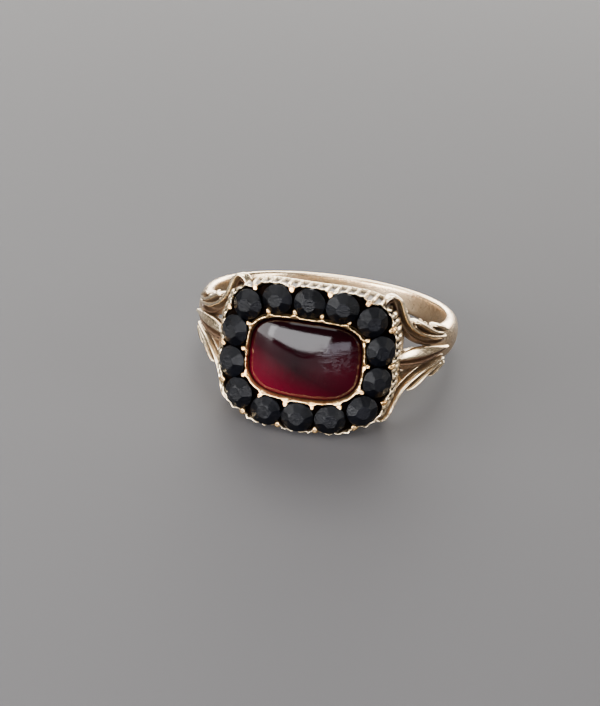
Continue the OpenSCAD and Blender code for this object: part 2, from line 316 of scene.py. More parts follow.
class Bench:
    """Edit-mode steps that the pieces share."""

    @staticmethod
    def clear() -> None:
        """Leaves edit mode and deselects everything."""
        if bpy.context.object is not None and bpy.context.object.mode != "OBJECT":
            bpy.ops.object.mode_set(mode="OBJECT")
        bpy.ops.object.select_all(action="DESELECT")

    @staticmethod
    def activate(piece: Piece) -> None:
        """Selects one piece alone and makes it active.

        Args:
            piece: The piece to work on.
        """
        Bench.clear()
        piece.select_set(True)
        bpy.context.view_layer.objects.active = piece

    @staticmethod
    def edit(piece: Piece) -> None:
        """Opens a piece in edit mode with all of it selected.

        Args:
            piece: The piece to work on.
        """
        Bench.activate(piece)
        bpy.ops.object.mode_set(mode="EDIT")
        bpy.ops.mesh.select_mode(type="VERT")
        bpy.ops.mesh.select_all(action="SELECT")

    @staticmethod
    def opened(name: str) -> Piece:
        """Names the shape that was just added and opens it in edit mode.

        Args:
            name: The piece's name.

        Returns:
            The piece.
        """
        piece = bpy.context.object
        piece.name = name
        Bench.edit(piece)
        return piece

    @staticmethod
    def choose(piece: Piece, test: Callable[[bmesh.types.BMVert], bool]) -> None:
        """Selects the vertices that pass a test, and nothing else.

        Args:
            piece: The piece in edit mode.
            test: Says of a vertex whether it is selected.
        """
        bpy.ops.mesh.select_mode(type="VERT")
        bpy.ops.mesh.select_all(action="DESELECT")
        shape = bmesh.from_edit_mesh(piece.data)
        for vertex in shape.verts:
            if test(vertex):
                vertex.select_set(True)
        shape.select_flush(True)
        bmesh.update_edit_mesh(piece.data)

    @staticmethod
    def pick(piece: Piece, test: Test) -> None:
        """Selects the vertices whose place passes a test."""
        Bench.choose(piece, lambda vertex: test(vertex.co))

    @staticmethod
    def pick_numbers(piece: Piece, numbers: set[int]) -> None:
        """Selects vertices by their numbers."""
        Bench.choose(piece, lambda vertex: vertex.index in numbers)

    @staticmethod
    def numbers(piece: Piece, test: Test) -> set[int]:
        """Lists the numbers of the vertices whose place passes a test."""
        shape = bmesh.from_edit_mesh(piece.data)
        return {vertex.index for vertex in shape.verts if test(vertex.co)}

    @staticmethod
    def pull(piece: Piece, place: Pair, reach: float, low: float, shift: Sequence[float]) -> None:
        """Moves what lies near an upright line, above a level.

        Args:
            piece: The piece in edit mode.
            place: Where the line stands.
            reach: Distance from the line.
            low: The level.
            shift: Distances along X, Y and Z.
        """
        Bench.pick(piece, lambda p: p.z > low and math.dist((p.x, p.y), place) < reach)
        Bench.push(*shift)

    @staticmethod
    def paint_shade(piece: Piece, amounts: dict[int, float]) -> None:
        """Marks painted shade, how much darker the metal is drawn, at some of a piece's points, and
        goes on editing it.

        Args:
            piece: The piece in edit mode.
            amounts: The amount of painted shade at each numbered vertex.
        """
        Bench.clear()
        marks = piece.data.attributes.get(PAINTED_SHADE)
        if marks is None:
            marks = piece.data.attributes.new(PAINTED_SHADE, "FLOAT", "POINT")
        for number, amount in amounts.items():
            marks.data[number].value = amount
        Bench.edit(piece)

    @staticmethod
    def pick_faces(piece: Piece, test: Callable[[Vector, Vector], bool]) -> None:
        """Selects the faces whose middle and normal pass a test.

        Args:
            piece: The piece in edit mode.
            test: Says of a middle and a normal whether the face is selected.
        """
        bpy.ops.mesh.select_mode(type="FACE")
        bpy.ops.mesh.select_all(action="DESELECT")
        shape = bmesh.from_edit_mesh(piece.data)
        shape.normal_update()
        for face in shape.faces:
            if test(face.calc_center_median(), face.normal):
                face.select_set(True)
        bmesh.update_edit_mesh(piece.data)

    @staticmethod
    def push(x: float, y: float, z: float) -> None:
        """Moves what is selected along X, Y and Z."""
        bpy.ops.transform.translate(value=(x, y, z))

    @staticmethod
    def scale(x: float, y: float, z: float, centre: Sequence[float] = (0, 0, 0)) -> None:
        """Scales what is selected about a point.

        Args:
            x: Factor along X.
            y: Factor along Y.
            z: Factor along Z.
            centre: The point that stays.
        """
        bpy.ops.transform.resize(value=(x, y, z), center_override=tuple(centre))

    @staticmethod
    def turn(angle: float, axis: str, centre: Sequence[float] = (0, 0, 0)) -> None:
        """Turns what is selected about an axis, counterclockwise as seen from its tip.

        Args:
            angle: The angle in radians.
            axis: X, Y or Z.
            centre: A point on the axis.
        """
        bpy.ops.transform.rotate(value=-angle, orient_axis=axis, center_override=tuple(centre))

    @staticmethod
    def extrude(x: float, y: float, z: float) -> None:
        """Extrudes what is selected and moves the new part along X, Y and Z."""
        bpy.ops.mesh.extrude_region_move(TRANSFORM_OT_translate={"value": (x, y, z)})

    @staticmethod
    def draw_in(inset: float, half: Pair) -> None:
        """Draws what is selected in towards the middle.

        Args:
            inset: Distance to draw in.
            half: Half length and half width of its outline.
        """
        Bench.scale(1 - inset / half[0], 1 - inset / half[1], 1)

    @staticmethod
    def slice(levels: Sequence[float]) -> None:
        """Cuts the open piece all round.

        Args:
            levels: The levels of the cuts.
        """
        for level in levels:
            bpy.ops.mesh.select_all(action="SELECT")
            bpy.ops.mesh.bisect(plane_co=(0, 0, level), plane_no=(0, 0, 1))

    @staticmethod
    def set_down(piece: Piece, size: Iterable[float], turn: float, place: Iterable[float]) -> None:
        """Scales a piece, turns it about Z and moves it, one after the other.

        Args:
            piece: The piece.
            size: Factors along X, Y and Z.
            turn: The angle in radians.
            place: Distances along X, Y and Z.
        """
        Bench.edit(piece)
        Bench.scale(*size)
        Bench.turn(turn, "Z")
        Bench.push(*place)
        Bench.clear()

    @staticmethod
    def copy(piece: Piece) -> Piece:
        """Copies a piece, with a mesh of its own.

        Args:
            piece: The piece to copy.

        Returns:
            The copy.
        """
        copy = piece.copy()
        copy.data = piece.data.copy()
        bpy.context.collection.objects.link(copy)
        return copy

    @staticmethod
    def join(parts: Sequence[Piece], name: str) -> Piece:
        """Joins parts into one piece.

        Args:
            parts: The parts.
            name: The piece's name.

        Returns:
            The piece.
        """
        Bench.clear()
        for part in parts:
            part.select_set(True)
        bpy.context.view_layer.objects.active = parts[0]
        bpy.ops.object.join()
        piece = bpy.context.object
        piece.name = name
        return piece

    @staticmethod
    def apply(piece: Piece, modifier: bpy.types.Modifier) -> None:
        """Applies one modifier.

        Args:
            piece: The piece that has it.
            modifier: The modifier.
        """
        Bench.activate(piece)
        bpy.ops.object.modifier_apply(modifier=modifier.name)

    @staticmethod
    def smooth(piece: Piece, levels: int) -> None:
        """Rounds a piece with an applied subdivision surface.

        Args:
            piece: The piece to round.
            levels: Number of subdivisions.
        """
        rounding = piece.modifiers.new("rounding", "SUBSURF")
        rounding.levels = levels
        rounding.render_levels = levels
        Bench.apply(piece, rounding)

    @staticmethod
    def soften(piece: Piece, width: float, segments: int, degrees: float) -> None:
        """Rounds the edges that are sharper than an angle with an applied bevel.

        Args:
            piece: The piece to soften.
            width: The bevel's width.
            segments: Number of its faces across.
            degrees: The angle.
        """
        edge = piece.modifiers.new("soft_edges", "BEVEL")
        edge.width = width
        edge.segments = segments
        edge.limit_method = "ANGLE"
        edge.angle_limit = math.radians(degrees)
        Bench.apply(piece, edge)

    @staticmethod
    def shade(piece: Piece, degrees: float | None = None) -> None:
        """Shades a piece smooth.

        Args:
            piece: The piece.
            degrees: Angle from which edges stay sharp, or None where there are none.
        """
        Bench.activate(piece)
        if degrees is None:
            bpy.ops.object.shade_smooth()
        else:
            bpy.ops.object.shade_smooth_by_angle(angle=math.radians(degrees))

    @staticmethod
    def tidy(piece: Piece) -> None:
        """Merges doubles and points all faces outwards.

        Args:
            piece: The piece to tidy.
        """
        Bench.edit(piece)
        bpy.ops.mesh.remove_doubles(threshold=1e-4)
        bpy.ops.mesh.normals_make_consistent(inside=False)
        Bench.clear()

    @staticmethod
    def cushion_block(name: str, half: Pair, low: float, high: float, quarter: int) -> Piece:
        """Adds an upright block with a cushion outline, open for editing.

        The four upright edges of a cube are bevelled over the whole of its sides, with a
        profile fuller than a circle.

        Args:
            name: The piece's name.
            half: Half length and half width.
            low: Level of the bottom.
            high: Level of the top.
            quarter: Number of sides in each quarter of the outline.

        Returns:
            The new piece in edit mode.
        """
        Bench.clear()
        bpy.ops.mesh.primitive_cube_add(size=2)
        block = Bench.opened(name)
        bpy.ops.mesh.select_mode(type="EDGE")
        bpy.ops.mesh.select_all(action="DESELECT")
        shape = bmesh.from_edit_mesh(block.data)
        for edge in shape.edges:
            if abs(edge.verts[0].co.z - edge.verts[1].co.z) > 1:
                edge.select_set(True)
        bmesh.update_edit_mesh(block.data)
        fullness = 2 ** (-2 / CUSHION_POWER)
        bpy.ops.mesh.bevel(offset=1.0, segments=quarter, profile=fullness, clamp_overlap=False)
        bpy.ops.mesh.select_all(action="SELECT")
        bpy.ops.mesh.remove_doubles(threshold=1e-4)
        Bench.scale(half[0], half[1], (high - low) / 2)
        Bench.push(0, 0, (high + low) / 2)
        return block

    @staticmethod
    def levels(piece: Piece) -> dict[int, float]:
        """Lists the level of each numbered vertex of a piece in edit mode."""
        return {vertex.index: vertex.co.z for vertex in bmesh.from_edit_mesh(piece.data).verts}

    @staticmethod
    def columns(piece: Piece, half: Pair, count: int) -> dict[int, int]:
        """Numbers the upright columns of a cushion block, from the middle of the right end.

        Args:
            piece: The piece in edit mode.
            half: Half length and half width of its outline.
            count: Number of columns.

        Returns:
            The column of each vertex.
        """
        points = cushion_places((1.0, 1.0), [share / count for share in range(count)])
        turns = [math.atan2(y, x) % math.tau for x, y in points]
        shape = bmesh.from_edit_mesh(piece.data)
        result = {}
        for vertex in shape.verts:
            turn = math.atan2(vertex.co.y / half[1], vertex.co.x / half[0]) % math.tau
            near = bisect_left(turns, turn)
            options = [(near - 1) % count, near % count]
            gaps = [abs((turn - turns[k] + math.pi) % math.tau - math.pi) for k in options]
            result[vertex.index] = options[gaps.index(min(gaps))]
        return result

    @staticmethod
    def strips(piece: Piece, low: float, high: float, width: float, step: float) -> None:
        """Cuts the level faces between two levels into strips, so that they can follow a curve.

        Args:
            piece: The piece in edit mode.
            low: The lowest level.
            high: The highest level.
            width: Half of the length to cut.
            step: Length of a strip.
        """
        count = int(width / step)
        for i in range(-count, count + 1):
            Bench.pick_faces(
                piece, lambda middle, normal: abs(normal.z) > 0.9 and low < middle.z < high
            )
            bpy.ops.mesh.bisect(plane_co=(i * step, 0, 0), plane_no=(1, 0, 0))


@dataclass(frozen=True)
class WallPoints:
    """The numbered points of an upright wall, by column and level."""

    columns: dict[int, int]
    levels: dict[int, float]
    cycle: int

    @classmethod
    def of(cls, piece: Piece, half: Pair, count: int, cycle: int) -> "WallPoints":
        """Lists the points of a piece as they are now.

        Args:
            piece: The piece in edit mode.
            half: Half length and half width of its outline.
            count: Number of columns.
            cycle: Number of columns after which their pattern repeats.

        Returns:
            The points.
        """
        return cls(Bench.columns(piece, half, count), Bench.levels(piece), cycle)

    def between(
        self, low: float = -math.inf, high: float = math.inf, parts: Iterable[int] | None = None
    ) -> set[int]:
        """Lists the points between two levels.

        Args:
            low: The lower level.
            high: The upper level.
            parts: Columns of each cycle that count, or None for all.

        Returns:
            The numbers of the points.
        """
        wanted = set(range(self.cycle) if parts is None else parts)
        return {
            number
            for number, level in self.levels.items()
            if low < level < high and self.columns[number] % self.cycle in wanted
        }


@dataclass(frozen=True)
class FaceCurve:
    """The curve of the bezel's face round the finger, as a lattice."""

    sizes: RingSizes
    reach: float = 7.6
    columns: int = 25
    levels: int = 5

    def sag(self, x: float, radius: float) -> float:
        """How far a level has fallen at a distance from the middle.

        Args:
            x: Distance from the middle along X.
            radius: The level's radius in the middle.

        Returns:
            The fall in millimetres.
        """
        return radius - math.sqrt(max(radius * radius - x * x, 0.0))

    def bend(self, piece: Piece) -> None:
        """Lets a piece that was modelled flat follow the face.

        Args:
            piece: The piece in bench position.
        """
        low, high = self.sizes.finger_radius, self.sizes.face_radius
        Bench.clear()
        bpy.ops.object.add(type="LATTICE")
        cage = bpy.context.object
        cage.data.points_u, cage.data.points_v, cage.data.points_w = self.columns, 2, self.levels
        cage.data.interpolation_type_u = "KEY_CATMULL_ROM"
        cage.data.interpolation_type_v = "KEY_LINEAR"
        cage.data.interpolation_type_w = "KEY_LINEAR"
        corners = [point.co for point in cage.data.points]
        spans = [max(c[i] for c in corners) - min(c[i] for c in corners) for i in range(3)]
        wanted = (2 * self.reach, 2 * self.reach, high - low)
        cage.scale = [w / s for w, s in zip(wanted, spans)]
        cage.location = (0, 0, (low + high) / 2)
        bpy.context.view_layer.update()
        for point in cage.data.points:
            place = cage.matrix_world @ Vector(point.co)
            fall = self.sag(place.x, place.z) / cage.scale[2]
            point.co_deform = Vector(point.co) - Vector((0, 0, fall))
        sagging = piece.modifiers.new("sag", "LATTICE")
        sagging.object = cage
        Bench.apply(piece, sagging)
        bpy.data.objects.remove(cage)
        Bench.edit(piece)
        Bench.turn(math.pi / 2, "X")
        Bench.clear()


@dataclass(frozen=True)
class FingerWrap:
    """Bends flat bench work round the finger."""

    radius: float = 10.0

    def bend(self, piece: Piece) -> None:
        """Bends a piece so that X runs round the finger.

        Args:
            piece: The piece in bench position.
        """
        Bench.edit(piece)
        Bench.turn(math.pi / 2, "X")
        Bench.push(0, self.radius, 0)
        Bench.clear()
        across = [vertex.co.x for vertex in piece.data.vertices]
        bending = piece.modifiers.new("bend", "SIMPLE_DEFORM")
        bending.deform_method = "BEND"
        bending.deform_axis = "Z"
        bending.angle = (max(across) - min(across)) / self.radius
        Bench.apply(piece, bending)
        Bench.edit(piece)
        Bench.push(0, -self.radius, 0)
        Bench.clear()


@dataclass(frozen=True)
class Station:
    """One place of a section on its way along a leaf or a band."""

    x: float
    y: float
    base: float
    top: float
    heading: float
    width: float


class Sweep:
    """Extrudes a section from station to station, as a bar is drawn and shaped."""

    @staticmethod
    def start(name: str, section: Sequence[Pair], first: Station) -> Piece:
        """Adds the section's face at the first station.

        Args:
            name: The piece's name.
            section: Points as shares across, from -1 to 1, and up, from 0 to 1.
            first: The first station.

        Returns:
            The new piece in edit mode.
        """
        Bench.clear()
        bpy.ops.mesh.primitive_circle_add(vertices=len(section), radius=1, fill_type="NGON")
        piece = Bench.opened(name)
        shape = bmesh.from_edit_mesh(piece.data)
        before = [vertex.co.copy() for vertex in shape.verts]
        side = Vector((-math.sin(first.heading), math.cos(first.heading), 0))
        for number, (across, up) in enumerate(section):
            target = Vector((first.x, first.y, first.base)) + side * (across * first.width / 2)
            target.z += up * (first.top - first.base)
            Bench.pick_numbers(piece, {number})
            Bench.push(*(target - before[number]))
        bpy.ops.mesh.select_all(action="SELECT")
        return piece

    @staticmethod
    def follow(stations: Sequence[Station]) -> None:
        """Extrudes the selected face through all the stations.

        Args:
            stations: The stations, the first of which the face is at.
        """
        for before, after in zip(stations, stations[1:]):
            centre = (after.x, after.y, after.base)
            Bench.extrude(after.x - before.x, after.y - before.y, after.base - before.base)
            turn = (after.heading - before.heading + math.pi) % math.tau - math.pi
            Bench.turn(turn, "Z", centre)
            wide = after.width / before.width
            high = (after.top - after.base) / (before.top - before.base)
            Bench.scale(wide, wide, high, centre)


class Nodes:
    """Adds and links shader nodes in one tree."""

    def __init__(self, tree: bpy.types.NodeTree) -> None:
        """Keeps the node tree to fill."""
        self.tree = tree

    def add(self, kind: str, **values: object) -> bpy.types.Node:
        """Adds a node.

        Args:
            kind: The node's type.
            values: Properties, or inputs by name with spaces as underscores.

        Returns:
            The node.
        """
        node = self.tree.nodes.new(kind)
        for name, value in values.items():
            if hasattr(node, name):
                setattr(node, name, value)
            else:
                node.inputs[name.replace("_", " ")].default_value = value
        return node

    def link(self, out: Socket, into: Socket) -> None:
        """Links an output to an input."""
        self.tree.links.new(out, into)

    def ramp(self, factor: Socket, low: float, high: float) -> Socket:
        """Stretches a value's range to 0 to 1.

        Args:
            factor: The value.
            low: The value that becomes 0.
            high: The value that becomes 1.

        Returns:
            The stretched value.
        """
        node = self.add("ShaderNodeMapRange", clamp=True, From_Min=low, From_Max=high)
        self.link(factor, node.inputs["Value"])
        return node.outputs["Result"]

    def mix(self, factor: Socket, first: Colour | Socket, second: Colour) -> Socket:
        """Mixes two colours.

        Args:
            factor: Share of the second colour.
            first: A colour, or the output that gives it.
            second: The other colour.

        Returns:
            The mixed colour.
        """
        node = self.add("ShaderNodeMix", data_type="RGBA")
        self.link(factor, node.inputs[0])
        if isinstance(first, Socket):
            self.link(first, node.inputs[6])
        else:
            node.inputs[6].default_value = (*first, 1)
        node.inputs[7].default_value = (*second, 1)
        return node.outputs[2]

    def math(self, operation: str, first: Socket, second: object) -> Socket:
        """Does one sum.

        Args:
            operation: The Math node's operation.
            first: The first value.
            second: The second value, a number or an output.

        Returns:
            The result.
        """
        node = self.add("ShaderNodeMath", operation=operation)
        self.link(first, node.inputs[0])
        if isinstance(second, Socket):
            self.link(second, node.inputs[1])
        else:
            node.inputs[1].default_value = second
        return node.outputs[0]

    def scaled(self, value: Socket, factor: float, start: float) -> Socket:
        """Multiplies a value and adds to it.

        Args:
            value: The value.
            factor: What it is multiplied by.
            start: What is added then.

        Returns:
            The result.
        """
        return self.math("ADD", self.math("MULTIPLY", value, factor), start)

    def total(self, start: float, *parts: tuple[Socket, float]) -> Socket:
        """Adds up values, each with its own factor.

        Args:
            start: The number that they are added to.
            parts: Each value and its factor.

        Returns:
            The sum.
        """
        result = self.scaled(*parts[0], start)
        for value, factor in parts[1:]:
            result = self.math("ADD", result, self.math("MULTIPLY", value, factor))
        return result

    def rest(self, value: Socket, factor: float = 1.0) -> Socket:
        """Takes a share from one, and multiplies what is left.

        Args:
            value: The share.
            factor: What the rest is multiplied by.

        Returns:
            The result.
        """
        return self.math("MULTIPLY", self.math("SUBTRACT", value, 1.0), -factor)

    def distance(self, value: Socket, place: float) -> Socket:
        """How far a value is from a place, without its sign."""
        return self.math("ABSOLUTE", self.math("SUBTRACT", value, place), 0.0)


class Effects:
    """Shader groups that several finishes share, each built once."""

    @staticmethod
    def group(
        name: str, inputs: dict[str, tuple[str, float]], outputs: Sequence[str]
    ) -> bpy.types.NodeTree:
        """Starts a group with its sockets.

        Args:
            name: The group's name.
            inputs: Kind and starting value of each number or vector input.
            outputs: Names of the value outputs.

        Returns:
            The group's tree.
        """
        tree = bpy.data.node_groups.new(name, "ShaderNodeTree")
        for key, (kind, value) in inputs.items():
            socket = tree.interface.new_socket(name=key, in_out="INPUT", socket_type=kind)
            if kind == "NodeSocketFloat":
                socket.default_value = value
        for key in outputs:
            tree.interface.new_socket(name=key, in_out="OUTPUT", socket_type="NodeSocketFloat")
        tree.nodes.new("NodeGroupInput").name = "in"
        tree.nodes.new("NodeGroupOutput").name = "out"
        return tree

    @staticmethod
    def scratches() -> bpy.types.NodeTree:
        """Fine scratches that run in two directions.

        Returns:
            The group, with a height and a mask.
        """
        tree = bpy.data.node_groups.get("fine_scratches")
        if tree is not None:
            return tree
        tree = Effects.group(
            "fine_scratches",
            {
                "Vector": ("NodeSocketVector", 0),
                "Scale": ("NodeSocketFloat", 900),
                "Sparseness": ("NodeSocketFloat", 0.62),
            },
            ("Height", "Mask"),
        )
        nodes = Nodes(tree)
        entry, leave = tree.nodes["in"], tree.nodes["out"]
        lines = []
        for angle, stretch in (((0.3, 0.5, 0.9), (1, 14, 14)), ((1.1, -0.4, -0.7), (12, 1, 12))):
            place = nodes.add("ShaderNodeMapping", Rotation=angle, Scale=stretch)
            nodes.link(entry.outputs["Vector"], place.inputs["Vector"])
            noise = nodes.add("ShaderNodeTexNoise", Detail=2.0, Roughness=0.6)
            nodes.link(place.outputs["Vector"], noise.inputs["Vector"])
            nodes.link(entry.outputs["Scale"], noise.inputs["Scale"])
            line = nodes.math("SUBTRACT", noise.outputs["Fac"], entry.outputs["Sparseness"])
            lines.append(nodes.ramp(line, 0.0, 0.12))
        both = nodes.math("MAXIMUM", lines[0], lines[1])
        nodes.link(both, leave.inputs["Mask"])
        nodes.link(nodes.math("MULTIPLY", both, -1.0), leave.inputs["Height"])
        return tree

    @staticmethod
    def patches() -> bpy.types.NodeTree:
        """Soft uneven patches of wear, with a finer grain in them.

        Returns:
            The group, with a mask and a fine mask.
        """
        tree = bpy.data.node_groups.get("wear_patches")
        if tree is not None:
            return tree
        tree = Effects.group(
            "wear_patches",
            {"Vector": ("NodeSocketVector", 0), "Scale": ("NodeSocketFloat", 300)},
            ("Mask", "Fine"),
        )
        nodes = Nodes(tree)
        entry, leave = tree.nodes["in"], tree.nodes["out"]
        broad = nodes.add("ShaderNodeTexNoise", Detail=5.0, Roughness=0.62)
        nodes.link(entry.outputs["Vector"], broad.inputs["Vector"])
        nodes.link(entry.outputs["Scale"], broad.inputs["Scale"])
        fine = nodes.add("ShaderNodeTexNoise", Detail=3.0, Roughness=0.7)
        nodes.link(entry.outputs["Vector"], fine.inputs["Vector"])
        nodes.link(nodes.math("MULTIPLY", entry.outputs["Scale"], 9.0), fine.inputs["Scale"])
        nodes.link(nodes.ramp(broad.outputs["Fac"], 0.35, 0.68), leave.inputs["Mask"])
        nodes.link(nodes.ramp(fine.outputs["Fac"], 0.3, 0.75), leave.inputs["Fine"])
        return tree

    @staticmethod
    def place(
        nodes: Nodes, tree: bpy.types.NodeTree, vector: Socket, **values: float
    ) -> bpy.types.Node:
        """Places a group in a material.

        Args:
            nodes: The material's nodes.
            tree: The group.
            vector: The coordinates that it reads.
            values: Its number inputs.

        Returns:
            The group's node.
        """
        node = nodes.add("ShaderNodeGroup", node_tree=tree)
        nodes.link(vector, node.inputs["Vector"])
        for key, value in values.items():
            node.inputs[key].default_value = value
        return node


class Dressing:
    """A material under way, with its shader."""

    def __init__(self, name: str, **values: object) -> None:
        """Starts the material.

        Args:
            name: The material's name.
            values: The shader's plain values, by name with spaces as underscores.
        """
        self.material = bpy.data.materials.new(name)
        self.material.use_nodes = True
        self.material.node_tree.nodes.clear()
        self.nodes = Nodes(self.material.node_tree)
        self.shader = self.nodes.add("ShaderNodeBsdfPrincipled", **values)
        output = self.nodes.add("ShaderNodeOutputMaterial")
        self.nodes.link(self.shader.outputs[0], output.inputs["Surface"])

    def where(self) -> Socket:
        """Adds the place on the piece, in Object coordinates."""
        return self.nodes.add("ShaderNodeTexCoord").outputs["Object"]

    def patches(self, scale: float) -> bpy.types.Node:
        """Places the worn patches at a scale."""
        return Effects.place(self.nodes, Effects.patches(), self.where(), Scale=scale)

    def scratches(self, scale: float, sparseness: float) -> bpy.types.Node:
        """Places the scratches at a scale and a sparseness."""
        group = Effects.scratches()
        return Effects.place(self.nodes, group, self.where(), Scale=scale, Sparseness=sparseness)

    def bump(
        self, height: Socket, strength: float, depth: float, under: Socket | None = None
    ) -> Socket:
        """Turns heights into a slope of the surface.

        Args:
            height: The heights.
            strength: How strong the slope is.
            depth: The height of 1 in metres.
            under: The normal of the coarser slopes that it lies on.

        Returns:
            The normal.
        """
        node = self.nodes.add("ShaderNodeBump", Strength=strength, Distance=depth)
        self.nodes.link(height, node.inputs["Height"])
        if under is not None:
            self.nodes.link(under, node.inputs["Normal"])
        return node.outputs["Normal"]

    def feed(self, **outputs: Socket) -> None:
        """Links outputs to the shader's inputs, by name with spaces as underscores."""
        for name, out in outputs.items():
            self.nodes.link(out, self.shader.inputs[name.replace("_", " ")])


@dataclass(frozen=True)
class GoldFinish:
    """Old yellow gold, polished and worn, with tarnish and painted shade in its crevices and
    closed-in places.
    """

    name: str
    pale: Colour = (0.88, 0.74, 0.48)
    deep: Colour = (0.74, 0.53, 0.27)
    # Colour of tarnish and of painted shade in closed-in places
    tarnish_and_shade: Colour = (0.07, 0.035, 0.02)
    tarnish_and_shade_amount: float = 0.95
    crevice_reach: float = 0.00035
    closed_sky: float = 0.35
    open_sky: float = 0.85
    # How much less metallic the metal is where painted shade is marked, so it is drawn dark
    shade_matting: float = 0.0
    roughness: float = 0.2
    worn_roughness: float = 0.14
    scratched_roughness: float = 0.12
    dark_roughness: float = 0.3
    patch_scale: float = 420.0
    unevenness: float = 0.3
    patch_depth: float = 0.00006
    scratch_scale: float = 900.0
    sparseness: float = 0.58
    scratch_strength: float = 0.25
    scratch_depth: float = 0.000012

    def darkness(self, nodes: Nodes, wear: bpy.types.Node) -> tuple[Socket, Socket]:
        """How dark the metal is drawn: tarnish and painted shade in its crevices, and painted shade
        where a piece is marked with it.

        Args:
            nodes: The material's nodes.
            wear: The worn patches.

        Returns:
            The whole darkness, and the marked painted shade's share of it.
        """
        # Ambient occlusion darkens closed-in places: partly tarnish in the hollows, partly painted
        # shade
        crevice = nodes.add("ShaderNodeAmbientOcclusion", samples=6, Distance=self.crevice_reach)
        open_share = nodes.ramp(crevice.outputs["AO"], self.closed_sky, self.open_sky)
        dark = nodes.rest(open_share, self.tarnish_and_shade_amount)
        dark = nodes.math("MULTIPLY", dark, nodes.scaled(wear.outputs["Fine"], 0.35, 0.8))
        paint_shade = nodes.add("ShaderNodeAttribute", attribute_name=PAINTED_SHADE).outputs["Fac"]
        paint_shade = nodes.math("MULTIPLY", paint_shade, nodes.scaled(wear.outputs["Mask"], 0.1, 0.9))
        return nodes.math("MAXIMUM", dark, paint_shade), paint_shade

    def build(self) -> Material:
        """Builds the material.

        Returns:
            The material.
        """
        coat = Dressing(self.name, Metallic=1.0)
        nodes = coat.nodes
        wear = coat.patches(self.patch_scale)
        scratches = coat.scratches(self.scratch_scale, self.sparseness)
        dark, paint_shade = self.darkness(nodes, wear)
        colour = nodes.mix(wear.outputs["Mask"], self.deep, self.pale)
        rough = nodes.total(
            self.roughness,
            (wear.outputs["Fine"], self.worn_roughness),
            (scratches.outputs["Mask"], self.scratched_roughness),
            (dark, self.dark_roughness),
        )
        wave = coat.bump(wear.outputs["Mask"], self.unevenness, self.patch_depth)
        lines = scratches.outputs["Height"]
        coat.feed(
            Base_Color=nodes.mix(dark, colour, self.tarnish_and_shade),
            # Where painted shade is marked, less metal shows, so those places are drawn dark
            Metallic=nodes.scaled(paint_shade, -self.shade_matting, 1.0),
            Roughness=rough,
            Normal=coat.bump(lines, self.scratch_strength, self.scratch_depth, wave),
        )
        return coat.material


